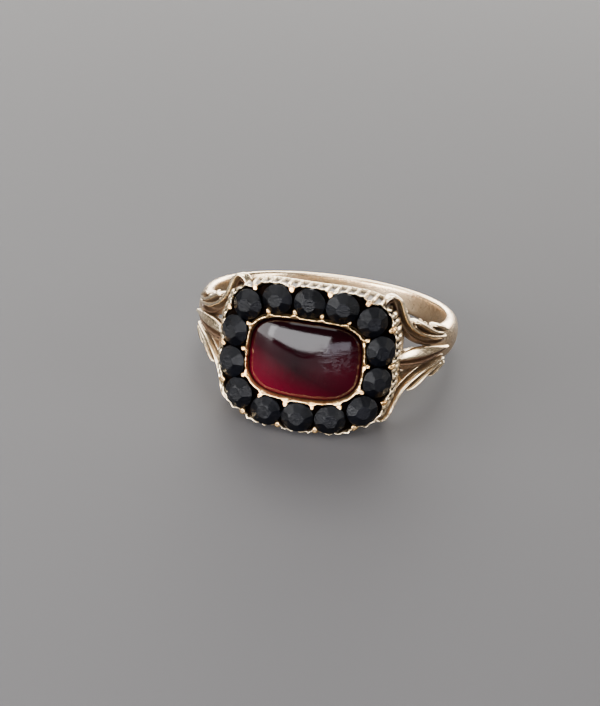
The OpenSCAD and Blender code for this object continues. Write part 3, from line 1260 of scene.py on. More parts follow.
@dataclass(frozen=True)
class GarnetFinish:
    """Deep red garnet, nearly black in its middle, with painted light: lighter edges, a painted
    glow low left, painted shade at the top.
    """

    sizes: RingSizes
    name: str = "garnet_deep_red"
    heart: Colour = (0.0022, 0.00003, 0.0004)
    flesh: Colour = (0.014, 0.0001, 0.0017)
    # Colour of the painted glow at the lower left
    painted_glow: Colour = (0.05, 0.0003, 0.005)
    heart_place: float = -0.13
    painted_glow_along: float = -0.6
    painted_glow_across: float = -0.9
    worn_place: Pair = (0.66, 0.15)
    patch_scale: float = 260.0
    cloudiness: float = 0.3
    scratch_scale: float = 600.0
    sparseness: float = 0.66
    hatch_scale: float = 260.0
    hatch_sparseness: float = 0.5
    roughness: float = 0.08
    scratched_roughness: float = 0.1
    fine_roughness: float = 0.03
    worn_roughness: float = 0.25
    worn_depth: float = 3.0
    scratch_strength: float = 0.12
    scratch_depth: float = 0.000012

    def plan(self, coat: Dressing) -> tuple[Socket, Socket]:
        """Place on the stone's plan, as shares of its half length and half width.

        Args:
            coat: The material under way.

        Returns:
            The place along the stone and the place across it.
        """
        nodes = coat.nodes
        upright = nodes.add("ShaderNodeVectorRotate", rotation_type="X_AXIS", Angle=self.sizes.tilt)
        nodes.link(coat.where(), upright.inputs["Vector"])
        split = nodes.add("ShaderNodeSeparateXYZ")
        nodes.link(upright.outputs[0], split.inputs[0])
        length, width = self.sizes.garnet_half_length, self.sizes.garnet_half_width
        along = nodes.math("MULTIPLY", split.outputs["X"], 1 / (MILLIMETRE * length))
        return along, nodes.math("MULTIPLY", split.outputs["Z"], 1 / (MILLIMETRE * width))

    def worn_end(self, nodes: Nodes, along: Socket, across: Socket) -> Socket:
        """The stone's scratched right end.

        Args:
            nodes: The material's nodes.
            along: Place along the stone.
            across: Place across it.

        Returns:
            A mask that fades out around the scratched place.
        """
        off = nodes.distance(along, self.worn_place[0])
        aside = nodes.distance(across, self.worn_place[1])
        return nodes.rest(nodes.ramp(nodes.math("MAXIMUM", off, aside), 0.2, 0.5))

    def painted_light_shares(self, nodes: Nodes, along: Socket, across: Socket) -> tuple[Socket, Socket]:
        """Painted light: how lit the colour is drawn, least in the heart, darker at the top as
        painted shade, and most in a painted glow at the lower left edge.

        Args:
            nodes: The material's nodes.
            along: Place along the stone.
            across: Place across it.

        Returns:
            The share of the flesh's colour, and that of the painted glow's.
        """
        aside = nodes.ramp(nodes.distance(along, self.heart_place), -0.1, 0.8)
        # The flesh is drawn darker towards the top, as painted shade
        flesh = nodes.math("MULTIPLY", aside, nodes.ramp(across, 0.8, -0.25))
        low_left = nodes.total(0.0, (along, self.painted_glow_along), (across, self.painted_glow_across))
        return flesh, nodes.ramp(low_left, 0.3, 1.3)

    def build(self) -> Material:
        """Builds the material.

        Returns:
            The material.
        """
        coat = Dressing(
            self.name, Transmission_Weight=0.22, IOR=1.42, Metallic=0.0, Specular_IOR_Level=0.1
        )
        nodes = coat.nodes
        wear = coat.patches(self.patch_scale)
        scratches = coat.scratches(self.scratch_scale, self.sparseness)
        hatch = coat.scratches(self.hatch_scale, self.hatch_sparseness)
        along, across = self.plan(coat)
        edge_light_share, painted_glow = self.painted_light_shares(nodes, along, across)
        cloudy = nodes.scaled(wear.outputs["Mask"], self.cloudiness, 0.8)
        edge_light_share = nodes.math("MULTIPLY", edge_light_share, cloudy)
        worn = nodes.math("MULTIPLY", hatch.outputs["Mask"], self.worn_end(nodes, along, across))
        rough = nodes.total(
            self.roughness,
            (scratches.outputs["Mask"], self.scratched_roughness),
            (wear.outputs["Fine"], self.fine_roughness),
            (worn, self.worn_roughness),
        )
        cut = nodes.math("MULTIPLY", worn, self.worn_depth)
        depth = nodes.math("SUBTRACT", scratches.outputs["Height"], cut)
        coat.feed(
            # The colour carries painted light: a dark heart, lighter edges and a painted glow at
            # the lower left
            Base_Color=nodes.mix(painted_glow, nodes.mix(edge_light_share, self.heart, self.flesh), self.painted_glow),
            Roughness=rough,
            Normal=coat.bump(depth, self.scratch_strength, self.scratch_depth),
        )
        return coat.material


@dataclass(frozen=True)
class BlackStoneFinish:
    """Black stone, polished once and now frosted, scratched and chipped."""

    name: str = "black_stone_worn"
    body: Colour = (0.0002, 0.0002, 0.0004)
    frost: Colour = (0.001, 0.00115, 0.0019)
    patch_scale: float = 700.0
    scratch_scale: float = 1500.0
    sparseness: float = 0.56
    roughness: float = 0.04
    worn_roughness: float = 0.1
    scratch_strength: float = 0.3
    scratch_depth: float = 0.00002
    chip_strength: float = 0.42
    chip_depth: float = 0.00004

    def build(self) -> Material:
        """Builds the material.

        Returns:
            The material.
        """
        coat = Dressing(self.name, IOR=1.5, Metallic=0.0, Specular_IOR_Level=0.09)
        nodes = coat.nodes
        wear = coat.patches(self.patch_scale)
        scratches = coat.scratches(self.scratch_scale, self.sparseness)
        marks = (wear.outputs["Mask"], scratches.outputs["Mask"])
        rough = nodes.total(self.roughness, *((mask, self.worn_roughness) for mask in marks))
        height = scratches.outputs["Height"]
        lines = coat.bump(height, self.scratch_strength, self.scratch_depth)
        coat.feed(
            Base_Color=nodes.mix(wear.outputs["Mask"], self.body, self.frost),
            Roughness=rough,
            Normal=coat.bump(wear.outputs["Fine"], self.chip_strength, self.chip_depth, lines),
        )
        return coat.material


@dataclass(frozen=True)
class TableFinish:
    """Plain pale matt table top."""

    name: str = "pale_table"
    colour: Colour = (0.045, 0.043, 0.0435)
    roughness: float = 0.6
    gloss: float = 0.22

    def build(self) -> Material:
        """Builds the material.

        Returns:
            The material.
        """
        coat = Dressing(
            self.name,
            Base_Color=(*self.colour, 1),
            Roughness=self.roughness,
            Specular_IOR_Level=self.gloss,
        )
        return coat.material


@dataclass
class Finishes:
    """The finishes of the whole ring, each built once."""

    shank: Material
    leaf: Material
    setting: Material
    wall: Material
    # Nearly black gold between the stones, drawn as painted shadow
    between: Material
    garnet: Material
    stone: Material

    @classmethod
    def build(cls, sizes: RingSizes) -> "Finishes":
        """Builds all the finishes.

        Args:
            sizes: The ring's sizes.

        Returns:
            The set of materials.
        """
        return cls(
            # A long occlusion reach darkens the inside of the band, as painted shade besides
            # tarnish
            shank=GoldFinish(
                "gold_shank", pale=(0.90, 0.72, 0.48), deep=(0.78, 0.56, 0.33),
                tarnish_and_shade=(0.17, 0.09, 0.042), tarnish_and_shade_amount=0.9, crevice_reach=0.01, open_sky=1.0,
                roughness=0.13, unevenness=0.15,
            ).build(),
            leaf=GoldFinish(
                "gold_leaf_pale", pale=(0.90, 0.76, 0.52), deep=(0.70, 0.50, 0.29),
                tarnish_and_shade=(0.07, 0.034, 0.02), tarnish_and_shade_amount=0.85, crevice_reach=0.0006,
                roughness=0.14,
            ).build(),
            setting=GoldFinish(
                "gold_setting_warm", pale=(0.95, 0.66, 0.31), deep=(0.76, 0.42, 0.15),
                roughness=0.13,
            ).build(),
            # The gold between the stones is drawn nearly black, as painted shadow
            between=GoldFinish(
                "gold_between_stones", pale=(0.0024, 0.0012, 0.0007), deep=(0.0008, 0.0004, 0.0003),
                tarnish_and_shade=(0.0012, 0.0006, 0.0004), crevice_reach=0.0008, roughness=0.45,
            ).build(),
            # The wall's groove floors are drawn dark as painted shade, and occlusion darkens nearly
            # all its closed-in parts as tarnish and painted shade
            wall=GoldFinish(
                "gold_wall", pale=(0.95, 0.80, 0.54), deep=(0.82, 0.60, 0.33),
                tarnish_and_shade=(0.024, 0.012, 0.007), tarnish_and_shade_amount=1.0, crevice_reach=0.0005,
                open_sky=0.97, shade_matting=0.85, roughness=0.16, unevenness=0.12,
            ).build(),
            garnet=GarnetFinish(sizes).build(),
            stone=BlackStoneFinish().build(),
        )


@dataclass(frozen=True)
class Layout:
    sizes: RingSizes

    def finish(self, piece: Piece, material: Material, nodes: Sequence[str]) -> None:
        """Lays a piece down, brings it to real size and dresses it.

        Args:
            piece: The piece, round the finger and in millimetres.
            material: Its finish.
            nodes: CAD nodes that it stands for.
        """
        Bench.edit(piece)
        Bench.turn(-self.sizes.tilt, "X")
        Bench.scale(MILLIMETRE, MILLIMETRE, MILLIMETRE)
        Bench.clear()
        piece.data.materials.clear()
        piece.data.materials.append(material)
        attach(piece, BODY)
        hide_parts(*nodes)
        LOG.info("%s: %d faces", piece.name, len(piece.data.polygons))


@dataclass
class Shank:
    """The plain band round the back of the finger."""

    sizes: RingSizes
    back_width: float = 1.7
    front_width: float = 2.8
    # One plus the cosine of the angle at which the band reaches its front width
    widest_at: float = 1.45
    steps: int = 96
    overlap: float = 5.0
    # The ends are thinned inside and outside over some steps, where the leaves cover them
    tucked_steps: int = 4
    tuck_inside: float = 0.1
    tuck_outside: float = 0.35

    SECTION = (
        (-1.0, 0.42), (-0.9, 0.66), (-0.66, 0.86), (-0.33, 0.97), (0.0, 1.0), (0.33, 0.97),
        (0.66, 0.86), (0.9, 0.66), (1.0, 0.42), (0.99, 0.16), (0.9, 0.03), (0.5, 0.0), (0.0, 0.0),
        (-0.5, 0.0), (-0.9, 0.03), (-0.99, 0.16),
    )

    def stations(self) -> list[Station]:
        """Stations from one end of the shank to the other.

        Returns:
            The stations.
        """
        wrap = FingerWrap().radius
        first = self.sizes.shank_end - self.overlap
        result = []
        for i in range(self.steps + 1):
            angle = first + (360 - 2 * first) * i / self.steps
            front = (1 + math.cos(math.radians(angle))) / self.widest_at
            width = self.back_width + (self.front_width - self.back_width) * min(front, 1.0)
            tuck = max(0.0, 1 - min(i, self.steps - i) / self.tucked_steps)
            top = self.sizes.shank_radius - self.tuck_outside * tuck
            base = self.sizes.finger_radius + self.tuck_inside * tuck
            result.append(Station(math.radians(angle) * wrap, 0, base, top, 0, width))
        return result

    def build(self) -> Piece:
        """Models the shank.

        Returns:
            The piece.
        """
        stations = self.stations()
        piece = Sweep.start("shank", self.SECTION, stations[0])
        Sweep.follow(stations)
        FingerWrap().bend(piece)
        Bench.tidy(piece)
        Bench.smooth(piece, 1)
        Bench.shade(piece)
        return piece


@dataclass
class ScrollLeaf:
    """A grooved leaf with a rolled end, a second lobe and a bud."""

    sizes: RingSizes
    width: float = 1.05
    tooth: float = 0.15
    tooth_turn: float = 0.5
    tooth_out: float = 0.47
    tooth_level: float = 0.62
    flank_from: float = 0.1
    flank_shade: float = 1.0

    SECTION = (
        (-1.0, 0.3), (-0.99, 0.62), (-0.87, 0.88), (-0.62, 1.02), (-0.3, 0.98), (-0.16, 0.72),
        (-0.04, 0.44), (0.14, 0.38), (0.34, 0.52), (0.46, 0.84), (0.58, 0.86), (0.72, 0.6),
        (0.91, 0.42), (1.0, 0.24), (0.95, 0.07), (0.6, 0.0), (0.2, 0.0), (-0.2, 0.0), (-0.6, 0.0),
        (-0.93, 0.08),
    )
    # Rows: place from shank to bezel, place along the finger, width, rise, thickness
    STEM = (
        (-0.2, 0.13, 0.5, 0, 0.8), (0.12, 0.14, 0.9, 0.1, 1), (0.45, 0.2, 0.98, 0.3, 1.02),
        (0.74, 0.32, 0.94, 0.55, 1), (0.93, 0.47, 0.92, 0.75, 0.98), (1.04, 0.63, 0.9, 0.9, 0.95),
        (1.1, 0.75, 0.85, 1, 0.92), (1.18, 0.825, 0.62, 1.05, 0.85), (1.27, 0.8, 0.5, 1.05, 0.8),
        (1.32, 0.73, 0.35, 1, 0.75),
    )
    LOBE = (
        (-0.12, 0.18, 0.6, 0, 0.8), (0.16, 0.21, 0.9, 0.1, 0.95), (0.4, 0.29, 1.0, 0.3, 1),
        (0.58, 0.37, 1.0, 0.46, 1.05), (0.69, 0.42, 0.85, 0.52, 1.0),
        (0.76, 0.445, 0.45, 0.46, 0.75),
    )
    BUD = (
        (-0.25, 0.19, 0.8, -0.1, 0.8), (-0.05, 0.25, 1, -0.05, 0.9), (0.12, 0.31, 0.8, 0, 0.85),
        (0.22, 0.335, 0.35, 0, 0.6),
    )

    # Each part's rows, its width as a share of the leaf's, and its number of steps
    PARTS = ((STEM, 1.0, 30), (LOBE, 0.95, 12), (BUD, 0.8, 8))
    TOOTH_SHAPE = (1.4, 1.0, 1.2)

    def stations(self, rows: Sequence[Shares], share: float, count: int) -> list[Station]:
        """Stations along one part of the leaf.

        Args:
            rows: The part's rows of shares.
            share: The part's width as a share of the leaf's.
            count: Number of steps.

        Returns:
            The stations.
        """
        sizes = self.sizes

        def place(t: float) -> Pair:
            """Flat place at a share of the way."""
            row = curve(rows, t)
            return sizes.leaf_place(row[0]), row[1] * sizes.rim_half_width

        result = []
        for i in range(count + 1):
            t = i / count
            row = curve(rows, t)
            before, after = place(max(t - 0.02, 0)), place(min(t + 0.02, 1))
            heading = math.atan2(after[1] - before[1], after[0] - before[0])
            levels = sizes.leaf_levels(row[3], row[4])
            result.append(Station(*place(t), *levels, heading, share * self.width * row[2]))
        return result

    def flank(self, part: Piece, stations: Sequence[Station]) -> dict[int, float]:
        """Finds the side of the stem that is turned to the middle leaf, which is drawn darker as
        painted shade.

        Args:
            part: The stem, open for editing.
            stations: The stations that it was swept along.

        Returns:
            The painted shade of each vertex on that side.
        """

        def inner(spot: Vector) -> bool:
            """Whether a place is on the inner side of the stem's middle."""
            near = min(stations, key=lambda s: (s.x - spot.x) ** 2 + (s.y - spot.y) ** 2)
            along = (spot.x - near.x) * math.sin(near.heading)
            side = (spot.y - near.y) * math.cos(near.heading) - along
            return side > self.flank_from * near.width

        return {number: self.flank_shade for number in Bench.numbers(part, inner)}

    def beads(self) -> list[Piece]:
        """Models one rounded tooth of the leaf's outer edge and sets copies of it along the leaf.

        Returns:
            The teeth.
        """
        Bench.clear()
        bpy.ops.mesh.primitive_uv_sphere_add(segments=14, ring_count=8, radius=1)
        tooth = Bench.opened("tooth")
        Bench.pick(tooth, lambda p: p.x > 0.3)
        Bench.scale(1, 0.72, 0.8)
        Bench.clear()
        stem, lobe = (self.stations(*part) for part in self.PARTS[:2])
        copies = []
        for station in stem[10:17:2] + lobe[4:10:2]:
            out = self.tooth_out * station.width
            place = (
                station.x + out * math.sin(station.heading),
                station.y - out * math.cos(station.heading),
                station.base + self.tooth_level * (station.top - station.base),
            )
            size = (self.tooth * share for share in self.TOOTH_SHAPE)
            copies.append(Bench.copy(tooth))
            Bench.set_down(copies[-1], size, station.heading - self.tooth_turn, place)
        bpy.data.objects.remove(tooth)
        return copies

    def build(self, side: Side, edge: Edge) -> Piece:
        """Models one scroll leaf.

        Args:
            side: The shoulder that it is on.
            edge: The edge of the shoulder that it follows.

        Returns:
            The piece.
        """
        parts = []
        for rows, share, count in self.PARTS:
            stations = self.stations(rows, share, count)
            part = Sweep.start("leaf_part", self.SECTION, stations[0])
            Sweep.follow(stations)
            # Only the upper leaf's stem gets painted shade, on its side towards the middle leaf
            if rows is self.STEM and edge is Edge.UPPER:
                Bench.paint_shade(part, self.flank(part, stations))
            Bench.tidy(part)
            Bench.smooth(part, 1)
            parts.append(part)
        piece = Bench.join(parts + self.beads(), f"scroll_leaf_{edge.name}_{side.name}".lower())
        Bench.edit(piece)
        Bench.scale(side.value, edge.value, 1)
        Bench.clear()
        FingerWrap().bend(piece)
        Bench.tidy(piece)
        Bench.shade(piece)
        return piece


@dataclass
class MiddleLeaf:
    """The pointed leaf between the scrolls, with a vein and a blunt head."""

    sizes: RingSizes
    width: float = 1.95
    aside: float = -0.22
    lower_shade: float = 1.0
    undercut: float = 0.6
    stroke_depth: float = 0.16
    lengthwise: int = 40
    crosswise: int = 14

    # Rows: place from shank to bezel, width, rise, thickness
    ROWS = (
        (-0.25, 0.12, 0.1, 0.85), (0, 0.4, 0.2, 0.95), (0.3, 0.8, 0.5, 1.05),
        (0.62, 1, 0.8, 1.1), (0.86, 0.88, 0.95, 1.1), (1.02, 0.58, 1, 1.05),
    )
    # Height shares from one edge, over the vein, to the other edge
    CROWN = (0.2, 0.42, 0.6, 0.74, 0.85, 0.93, 0.9, 0.4, 0.93, 1.02, 1.01, 0.98, 0.95, 0.91, 0.85)
    # Rows of the lower half that the graver's short strokes cross, and the columns of the strokes
    STROKED = (2, 3, 4)
    STROKES = range(8, 36, 4)

    def build(self, side: Side) -> Piece:
        """Models one middle leaf.

        Args:
            side: The shoulder that it is on.

        Returns:
            The piece.
        """
        Bench.clear()
        bpy.ops.mesh.primitive_grid_add(
            x_subdivisions=self.lengthwise, y_subdivisions=self.crosswise, size=2
        )
        piece = Bench.opened(f"middle_leaf_{side.name.lower()}")
        Bench.extrude(0, 0, 1)
        self.carve(piece)
        self.shape(piece)
        Bench.tidy(piece)
        Bench.edit(piece)
        Bench.scale(side.value, 1, 1)
        Bench.clear()
        Bench.smooth(piece, 1)
        FingerWrap().bend(piece)
        Bench.tidy(piece)
        Bench.shade(piece)
        return piece

    def spot(self, column: float, row: float) -> Pair:
        """Place of a crossing of the square block's lines."""
        return -1 + 2 * column / self.lengthwise, -1 + 2 * row / self.crosswise

    def carve(self, piece: Piece) -> None:
        """Carves the crown, the vein and the strokes, undercuts the block and marks painted shade
        on its lower half.

        Args:
            piece: The square block in edit mode.
        """
        for row, share in enumerate(self.CROWN):
            y = self.spot(0, row)[1]
            Bench.pick(piece, lambda p, y=y: p.z > 0.2 and abs(p.y - y) < 0.01)
            Bench.push(0, 0, share - 1)
        for column in self.STROKES:
            for row in self.STROKED:
                place = self.spot(column + row - self.STROKED[1], row)
                Bench.pull(piece, place, 0.01, 0.2, (0, 0, -self.stroke_depth))
        Bench.pick(piece, lambda p: p.z < 0.01)
        Bench.scale(1, self.undercut, 1)
        # The lower half is drawn darker, as painted shade
        lower = Bench.numbers(piece, lambda p: p.y < 0.05)
        Bench.paint_shade(piece, {number: self.lower_shade for number in lower})

    def shape(self, piece: Piece) -> None:
        """Draws the square block out to the leaf's outline, column by column.

        Args:
            piece: The block in edit mode.
        """
        for column in range(self.lengthwise, -1, -1):
            x = self.spot(column, 0)[0]
            place, width, rise, thickness = curve(self.ROWS, column / self.lengthwise)
            base, top = self.sizes.leaf_levels(rise, thickness)
            Bench.pick(piece, lambda p, x=x: p.z < 2 and abs(p.x - x) < 0.01)
            Bench.scale(1, width * self.width / 2, top - base)
            aside = self.aside * min(2 * column / self.lengthwise, 1)
            Bench.push(self.sizes.leaf_place(place) - x, aside, base)


@dataclass
class Bezel:
    """The ribbed wall with its rim, its plain band and its closed back."""

    sizes: RingSizes
    ribs_in_quarter: int = 16
    groove_depth: float = 0.2
    groove_shade: float = 1.0
    rib_shape: Shares = (-1.0, -0.95, 0.2, 0.35, 0.2, -0.95)
    rim_share: float = 0.25
    rim_height: float = 0.1
    end_stand: float = 0.26
    ends_from: float = 0.86
    band: float = 0.28
    band_stand: float = 0.09
    lip_depth: float = 0.6
    back_edge: float = 0.08
    back_step: float = 0.15
    back_inset: float = 0.5
    back_round: float = 0.1
    scallop: float = 0.12

    # Columns of a rib's crest, and of the floor of the groove beside it
    CREST = (2, 3, 4)
    FLOOR = (0, 1, 5)
    # Levels of the cuts round the wall, above the band's edge and below the rim
    FOOT_CUTS = (-0.04, 0.0, 0.06, 0.4)
    TOP_CUTS = (0.8, 0.35, 0.18, 0.05)
    # Between which two depths below the rim a rib at the two ends stands out, and how much
    END_HEADS = ((0.9, 0.7, 0.9), (0.4, 0.3, 1.0), (0.2, 0.1, 0.6))
    # Columns of the floor, and how much lower the rim is there
    DROPS = ((0, 0.08), (1, 0.04), (5, 0.04))
    # Reach of a scallop of the edge, and its depth below the rim
    SCALLOPS = ((0.28, 0.2), (0.5, 0.45))
    # Rise and inset of each step of the lip
    LIP = ((0.01, 0.035), (-0.1, 0.12))

    def build(self) -> Piece:
        """Models the bezel.

        Returns:
            The piece.
        """
        s = self.sizes
        half = s.rim_half()
        parts = len(self.rib_shape)
        quarter = parts * self.ribs_in_quarter
        top, foot = s.rim_level, self.foot()
        piece = Bench.cushion_block("bezel_wall", half, s.base_radius, top, quarter)
        Bench.pick_faces(piece, lambda middle, normal: abs(normal.z) > 0.5)
        bpy.ops.mesh.delete(type="ONLY_FACE")
        Bench.slice([foot + cut for cut in self.FOOT_CUTS] + [top - cut for cut in self.TOP_CUTS])
        points = WallPoints.of(piece, half, 4 * quarter, parts)
        ends = Bench.numbers(piece, lambda p: abs(p.x) > self.ends_from * half[0])
        self.groove(piece, points)
        self.raise_ends(piece, points, ends)
        self.lean(piece, points)
        self.scallop_edge(piece)
        # The groove floors are marked with painted shade, so the windows between the ribs are drawn
        # dark
        floors = points.between(foot + 0.05, top - self.rim_height, self.FLOOR)
        Bench.paint_shade(piece, {number: self.groove_shade for number in floors})
        self.add_lip(piece, points)
        self.add_back(piece)
        Bench.tidy(piece)
        Bench.smooth(piece, 1)
        FaceCurve(s).bend(piece)
        Bench.shade(piece, 40)
        return piece

    def foot(self) -> float:
        """Level of the plain band's upper edge."""
        return self.sizes.base_radius + self.band

    def groove(self, piece: Piece, points: WallPoints) -> None:
        """Sinks the grooves between the ribs, less so at the rim, and raises the plain band.

        Args:
            piece: The wall in edit mode.
            points: Its points.
        """
        parts = len(self.rib_shape)
        above = self.foot() + 0.02
        for part in range(parts // 2 + 1):
            chosen = points.between(low=above, parts={part, (parts - part) % parts})
            rim = chosen & points.between(low=self.sizes.rim_level - self.rim_height)
            for some, share in ((chosen - rim, 1.0), (rim, self.rim_share)):
                Bench.pick_numbers(piece, some)
                depth = share * self.groove_depth * self.rib_shape[part]
                bpy.ops.transform.shrink_fatten(value=depth)
        Bench.pick_numbers(piece, points.between(high=above))
        bpy.ops.transform.shrink_fatten(value=self.band_stand)

    def raise_ends(self, piece: Piece, points: WallPoints, ends: set[int]) -> None:
        """Raises the ribs' heads at the wall's two ends, and lowers the rim over the grooves.

        Args:
            piece: The wall in edit mode.
            points: Its points.
            ends: The numbers of those at the two ends.
        """
        top = self.sizes.rim_level
        for deep, shallow, share in self.END_HEADS:
            heads = points.between(top - deep, top - shallow, self.CREST)
            Bench.pick_numbers(piece, ends & heads)
            bpy.ops.transform.shrink_fatten(value=self.end_stand * share)
        for part, drop in self.DROPS:
            Bench.pick_numbers(piece, points.between(low=top - self.rim_height, parts=(part,)))
            Bench.push(0, 0, -drop)

    def lean(self, piece: Piece, points: WallPoints) -> None:
        """Draws the wall in towards its base.

        Args:
            piece: The wall in edit mode.
            points: Its points.
        """
        s = self.sizes
        half = s.rim_half()
        lean = (s.base_half_length / half[0], s.base_half_width / half[1])
        for level in sorted({round(z, 3) for z in points.levels.values()}):
            share = (s.rim_level - level) / (s.rim_level - s.base_radius)
            Bench.pick_numbers(piece, points.between(level - 0.002, level + 0.002))
            Bench.scale(1 + (lean[0] - 1) * share, 1 + (lean[1] - 1) * share, 1)

    def scallop_edge(self, piece: Piece) -> None:
        """Draws the upper edge in between the stones.

        Args:
            piece: The wall in edit mode.
        """
        s = self.sizes
        for place, away in s.claw_places(s.stone_radius + s.rim_edge - s.rim_drawn_in[1]):
            shift = (-self.scallop * away[0], -self.scallop * away[1], 0)
            for reach, depth in self.SCALLOPS:
                Bench.pull(piece, place, reach, s.rim_level - depth, shift)

    def add_lip(self, piece: Piece, points: WallPoints) -> None:
        """Turns the rim inwards and down behind the stones.

        Args:
            piece: The wall in edit mode.
            points: Its points.
        """
        s = self.sizes
        Bench.pick_numbers(piece, points.between(low=s.rim_level - 0.01))
        for rise, inset in self.LIP:
            Bench.extrude(0, 0, rise)
            Bench.draw_in(inset, s.rim_half())
        Bench.extrude(0, 0, -self.lip_depth)

    def add_back(self, piece: Piece) -> None:
        """Closes the wall towards the finger.

        Args:
            piece: The wall in edit mode.
        """
        s = self.sizes
        half = (s.base_half_length, s.base_half_width)
        Bench.pick(piece, lambda p: p.z < s.base_radius + 0.01)
        Bench.extrude(0, 0, 0)
        Bench.draw_in(self.back_edge, half)
        Bench.extrude(0, 0, self.back_step)
        Bench.draw_in(self.back_inset, half)
        Bench.extrude(0, 0, s.finger_radius + self.back_round - s.base_radius - self.back_step)
        Bench.extrude(0, 0, -self.back_round)
        Bench.draw_in(self.back_round, half)
        bpy.ops.mesh.edge_face_add()
        Bench.strips(piece, 0, s.finger_radius + 0.01, s.base_half_length, 0.4)


@dataclass
class SettingPlate:
    """The gold between the stones, with a seat sunk for each."""

    sizes: RingSizes
    level: float = 11.8
    bottom: float = 11.2
    inset: float = 0.24
    opening_gap: float = 0.1
    clearance: float = 0.01
    seat_height: float = 1.2
    seat_taper: float = 0.45
    seat_sunk: float = 0.1
    edge: float = 0.03
    scallop: float = 0.2
    scallop_reach: float = 0.45
    quarter: int = 24

    def build(self) -> Piece:
        """Models the plate.

        Returns:
            The piece.
        """
        s = self.sizes
        half = (s.rim_half()[0] - self.inset, s.rim_half()[1] - self.inset)
        piece = Bench.cushion_block("setting_plate", half, self.bottom, self.level, self.quarter)
        for place, away in s.claw_places(s.stone_radius):
            shift = (-self.scallop * away[0], -self.scallop * away[1], 0)
            Bench.pull(piece, place, self.scallop_reach, 0, shift)
        Bench.strips(piece, 0, s.face_radius, s.rim_half_length, 0.5)
        opening = (s.opening_half()[0] + self.opening_gap, s.opening_half()[1] + self.opening_gap)
        low, high = self.bottom - 0.5, self.level + 0.5
        cutters = [Bench.cushion_block("opening", opening, low, high, self.quarter)]
        cutters += [self.seat(number, place) for number, place in enumerate(s.stone_middles())]
        for cutter in cutters:
            cut = piece.modifiers.new("cut", "BOOLEAN")
            cut.object = cutter
            cut.operation = "DIFFERENCE"
            cut.solver = "EXACT"
            Bench.apply(piece, cut)
            bpy.data.objects.remove(cutter)
        Bench.soften(piece, self.edge, 2, 40)
        FaceCurve(s).bend(piece)
        Bench.shade(piece, 35)
        return piece

    def seat(self, number: int, place: Pair) -> Piece:
        """Models the cutter of one stone's seat.

        Args:
            number: The stone's number, from 0.
            place: Its place on the face's flat plan.

        Returns:
            The cutter.
        """
        s = self.sizes
        Bench.clear()
        bpy.ops.mesh.primitive_cylinder_add(
            vertices=32, radius=s.stone_radius, depth=self.seat_height
        )
        cutter = Bench.opened("seat")
        Bench.pick(cutter, lambda p: p.z < 0)
        Bench.scale(self.seat_taper, self.seat_taper, 1)
        size = [span + self.clearance for span in s.stone_spans[number]]
        level = self.level - self.seat_sunk
        Bench.set_down(cutter, (*size, 1), s.row_direction(number), (*place, level))
        return cutter


@dataclass
class Collet:
    """The raised edge round the garnet, nicked on its outer slope, with the cup under it."""

    sizes: RingSizes
    quarter: int = 36
    rounding: float = 0.03
    edge: float = 0.06
    slope: float = 0.3
    cusp: float = 0.2
    cusp_rise: float = 0.05
    nick: float = 0.06
    nick_every: int = 3
    flare: float = 0.2
    cup: float = 0.7
    under: float = 0.03
    seed: int = 5

    # Depths of the nicks on the inner slope, and how often one is cut
    INNER_NICKS = (0.025, 0.045, 0.065)
    NICKED = 0.45
    # Reach of each pull that draws the edge out to a cusp, and whether it also rises
    CUSPS = ((0.24, 0), (0.14, 1))

    def build(self) -> Piece:
        """Models the collet.

        Returns:
            The piece.
        """
        s = self.sizes
        inner = s.opening_half()
        half = (inner[0] + s.collet_wall, inner[1] + s.collet_wall)
        top = s.face_radius + s.collet_stand
        piece = Bench.cushion_block("collet", half, s.garnet_back - 0.2, top, self.quarter)
        Bench.slice((s.face_radius - 0.4, s.face_radius - 0.1, top - 0.05))
        points = WallPoints.of(piece, half, 4 * self.quarter, self.nick_every)
        Bench.pick_numbers(piece, points.between(s.face_radius - 0.3, top - 0.01, (0,)))
        bpy.ops.transform.shrink_fatten(value=-self.nick)
        Bench.pick_numbers(piece, points.between(high=s.face_radius - 0.2))
        Bench.draw_in(-self.flare, half)
        Bench.pick_faces(piece, lambda middle, normal: normal.z > 0.9 and middle.z > top - 0.01)
        Bench.draw_in(self.rounding, half)
        step = (s.collet_wall - self.edge) / 2
        for drop, inset in ((0, self.edge), (self.slope / 2, step), (self.slope / 2, step)):
            Bench.extrude(0, 0, -drop)
            Bench.draw_in(inset, half)
        Bench.extrude(0, 0, -self.cup)
        Bench.extrude(0, 0, s.garnet_back - self.under - top + self.cup + self.slope)
        Bench.strips(piece, 0, s.garnet_back + 0.1, inner[0], 0.25)
        self.roughen(piece, half, top)
        Bench.tidy(piece)
        Bench.smooth(piece, 1)
        FaceCurve(s).bend(piece)
        Bench.shade(piece, 50)
        return piece

    def roughen(self, piece: Piece, half: Pair, top: float) -> None:
        """Nicks the inner slope and draws the edge out between the stones.

        Args:
            piece: The collet in edit mode.
            half: Half length and half width of its outline.
            top: Level of its edge.
        """
        s = self.sizes
        count = 4 * self.quarter
        points = WallPoints.of(piece, half, count, count)
        chance = random.Random(self.seed)
        low = top - self.slope - 0.02
        for depth in self.INNER_NICKS:
            cut = {k for k in range(0, count, 2) if chance.random() < self.NICKED}
            Bench.pick_numbers(piece, points.between(low=low, parts=cut))
            Bench.push(0, 0, -depth)
        pulled = self.cusp / len(self.CUSPS)
        for place, away in s.claw_places(-s.claw_offset - 0.22):
            for reach, rises in self.CUSPS:
                shift = (pulled * away[0], pulled * away[1], rises * self.cusp_rise)
                Bench.pull(piece, place, reach, top - 0.13, shift)


